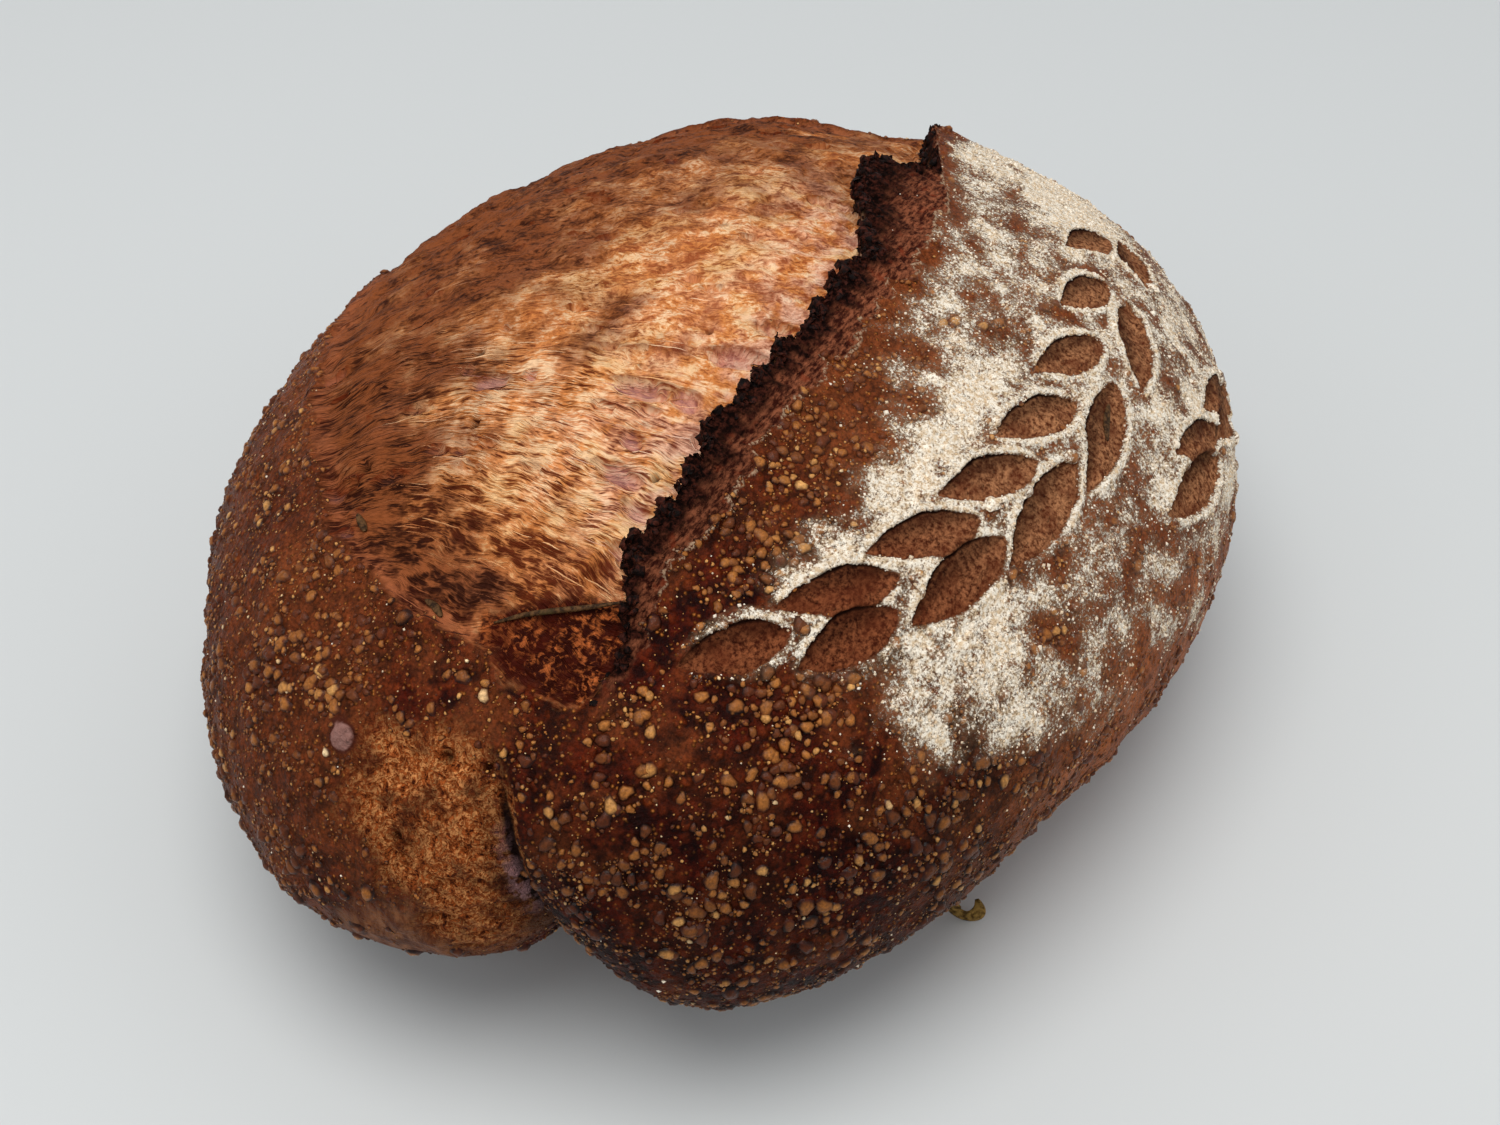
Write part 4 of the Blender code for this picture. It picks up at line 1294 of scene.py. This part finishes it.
def ribbon(name, centre_line, width, thickness, material, normal_hint, droop=0.0):
    """A slim leaf along a line of points: a closed lens-shaped tube, pointed at both ends."""
    line = np.asarray(centre_line, float)
    steps = 28
    even = np.linspace(0, 1, len(line))
    fine = np.linspace(0, 1, steps)
    path = np.stack([np.interp(fine, even, line[:, axis]) for axis in range(3)], 1)
    padded = np.pad(path, ((2, 2), (0, 0)), mode="reflect", reflect_type="odd")
    path = np.stack([np.convolve(padded[:, axis], np.ones(5) / 5, "valid") for axis in range(3)], 1)
    ahead = np.gradient(path, axis=0)
    ahead /= np.linalg.norm(ahead, axis=1, keepdims=True)
    across = np.cross(ahead, np.array(normal_hint, float))
    across /= np.linalg.norm(across, axis=1, keepdims=True)
    up = np.cross(across, ahead)
    taper = np.sin(math.pi * np.linspace(0.02, 0.98, steps)) ** 0.45
    sides = 10
    rings = []
    for i in range(sides):
        turn = 2 * math.pi * i / sides
        rise = math.sin(turn) * thickness / 2 - droop * abs(math.cos(turn)) * width / 4
        offset = across * math.cos(turn) * width / 2 + up * rise
        rings.append(path + offset * taper[:, None])
    points = np.stack(rings, 1).reshape(-1, 3)
    faces = []
    for step in range(steps - 1):
        for i in range(sides):
            a, b = step * sides + i, step * sides + (i + 1) % sides
            faces.append((a, b, b + sides, a + sides))
    make_piece(name, points, faces, material)


def on_loaf(tree, x, y, z, over=0.0):
    """The point of the fine loaf nearest to a point of the plain loaf, raised over the skin."""
    hit = tree.find_nearest(Vector((x + MIDDLE_X, y, z)))
    return np.array(hit[0]) + np.array(hit[1]) * over


# Herbs: name, width, thickness, the way it faces, droop, places as (x, y, z, height over the skin)
HERBS = (
    ("rosemary_needle", 1.2, 0.9, (0, 0, 1), 0.5,
     ((-93, -4.5, 92, 0.3), (-90, -9.5, 94, 0.9), (-87, -14.5, 95, 1.0), (-84, -19, 95, 0.9),
      (-81, -23.5, 95.5, 0.5))),
    ("herb_bit_near", 1.6, 0.7, (0, 0, 1), 0.4,
     ((-95.5, 4.5, 91, 0.5), (-94, 7.0, 91, 0.5), (-93.5, 9.5, 91, 0.5))),
    ("herb_bit_left", 1.6, 0.6, (0, 0, 1), 0.4,
     ((-86, 29, 93, 0.5), (-84, 31, 93, 0.5), (-82.5, 33.5, 93, 0.5))),
    ("herb_bit_leaf", 1.8, 0.6, (0, -1, 1), 0.4,
     ((20, -73.5, 90, 0.3), (16, -75, 89.5, 0.3), (11, -77, 88.5, 0.3))),
)


def make_herbs(tree):
    material = herb_material()
    for name, width, thickness, facing, droop, places in HERBS:
        line = [on_loaf(tree, *place) for place in places]
        ribbon(name, line, width, thickness, material, facing, droop)


def make_base_curl():
    """A dry curl of leaf that sticks out from under the loaf's foot."""
    turn = np.linspace(0, 4.6, 14)
    spread = 3.9 - 0.35 * turn
    line = np.stack([-43 + 0.8 * turn, -80 - spread * np.cos(turn + 2.4) + 0.4 * turn,
                     4.4 + spread * np.sin(turn + 2.4) * 0.9], 1)
    line = np.vstack([[(-45, -66, 3.2), (-44.5, -72, 4.6)], line])
    ribbon("leaf_curl", line, 3.6, 0.7, dry_leaf_material(), (1, 0.2, 0.1))


# Floor, light and camera, in metres

FLOOR_REACH = 3.0
# Area lights: name, place, size, power, tint
LIGHTS = (
    ("key", (-0.3, -0.04, 1.3), 1.0, 10.6, (1, 0.985, 0.96)),
    ("left", (-1.1, 0.45, 0.9), 0.8, 1.2, (1, 1, 1)),
    ("right", (0.3, -1.2, 0.8), 1.0, 0.9, (1, 1, 1)),
)
LIT_POINT = (0, 0, 0.05)
SKY, SKY_STRENGTH = (0.95, 0.98, 1.0, 1), 0.55
VIEW_TURN, VIEW_DROP = 30, 40  # degrees from +X, and down
VIEW_POINT, VIEW_DISTANCE = (MIDDLE_X * MM, 0, 0.055), 0.45
IMAGE_WIDTH, SHIFT_RIGHT, SHIFT_UP = 1500, 14, -85  # pixels


def make_floor():
    look = Look("pale_floor", Specular_IOR_Level=0.3)
    base = look.mix(look.noise(900, 1), colour(208, 211, 212), colour(214, 216, 216))
    mesh = bpy.data.meshes.new("floor")
    corners = [(FLOOR_REACH * x, FLOOR_REACH * y, 0) for x, y in ((-1, -1), (1, -1), (1, 1), (-1, 1))]
    mesh.from_pydata(corners, [], [(0, 1, 2, 3)])
    mesh.materials.append(look.finish(base, 0.55))
    floor = bpy.data.objects.new("floor", mesh)
    bpy.context.scene.collection.objects.link(floor)


def make_lights():
    for name, place, size, power, tint in LIGHTS:
        light = bpy.data.lights.new(name, "AREA")
        light.shape = "DISK"
        light.size = size
        light.energy = power
        light.color = tint
        lamp = bpy.data.objects.new(name, light)
        lamp.location = place
        lamp.rotation_euler = (Vector(LIT_POINT) - Vector(place)).to_track_quat("-Z", "Y").to_euler()
        bpy.context.scene.collection.objects.link(lamp)
    world = bpy.data.worlds.new("studio")
    world.use_nodes = True
    background = world.node_tree.nodes["Background"]
    background.inputs["Color"].default_value = SKY
    background.inputs["Strength"].default_value = SKY_STRENGTH
    bpy.context.scene.world = world


def make_camera():
    camera = bpy.data.cameras.new("camera")
    camera.lens = 50
    camera.sensor_width = 36
    camera.shift_x = SHIFT_RIGHT / IMAGE_WIDTH
    camera.shift_y = SHIFT_UP / IMAGE_WIDTH
    turn, drop = math.radians(VIEW_TURN), math.radians(VIEW_DROP)
    ahead = Vector((math.cos(turn) * math.cos(drop), math.sin(turn) * math.cos(drop), -math.sin(drop)))
    viewer = bpy.data.objects.new("camera", camera)
    viewer.location = Vector(VIEW_POINT) - ahead * VIEW_DISTANCE
    viewer.rotation_euler = ahead.to_track_quat("-Z", "Y").to_euler()
    bpy.context.scene.collection.objects.link(viewer)
    bpy.context.scene.camera = viewer


def main():
    loaf = make_loaf()
    tree = surface_tree(loaf)
    make_blisters(loaf)
    make_flour(loaf)
    make_strands(loaf, tree)
    make_char_crumbs(loaf)
    make_herbs(tree)
    make_base_curl()
    make_floor()
    make_lights()
    make_camera()
    bpy.context.scene.view_settings.view_transform = "Standard"


main()
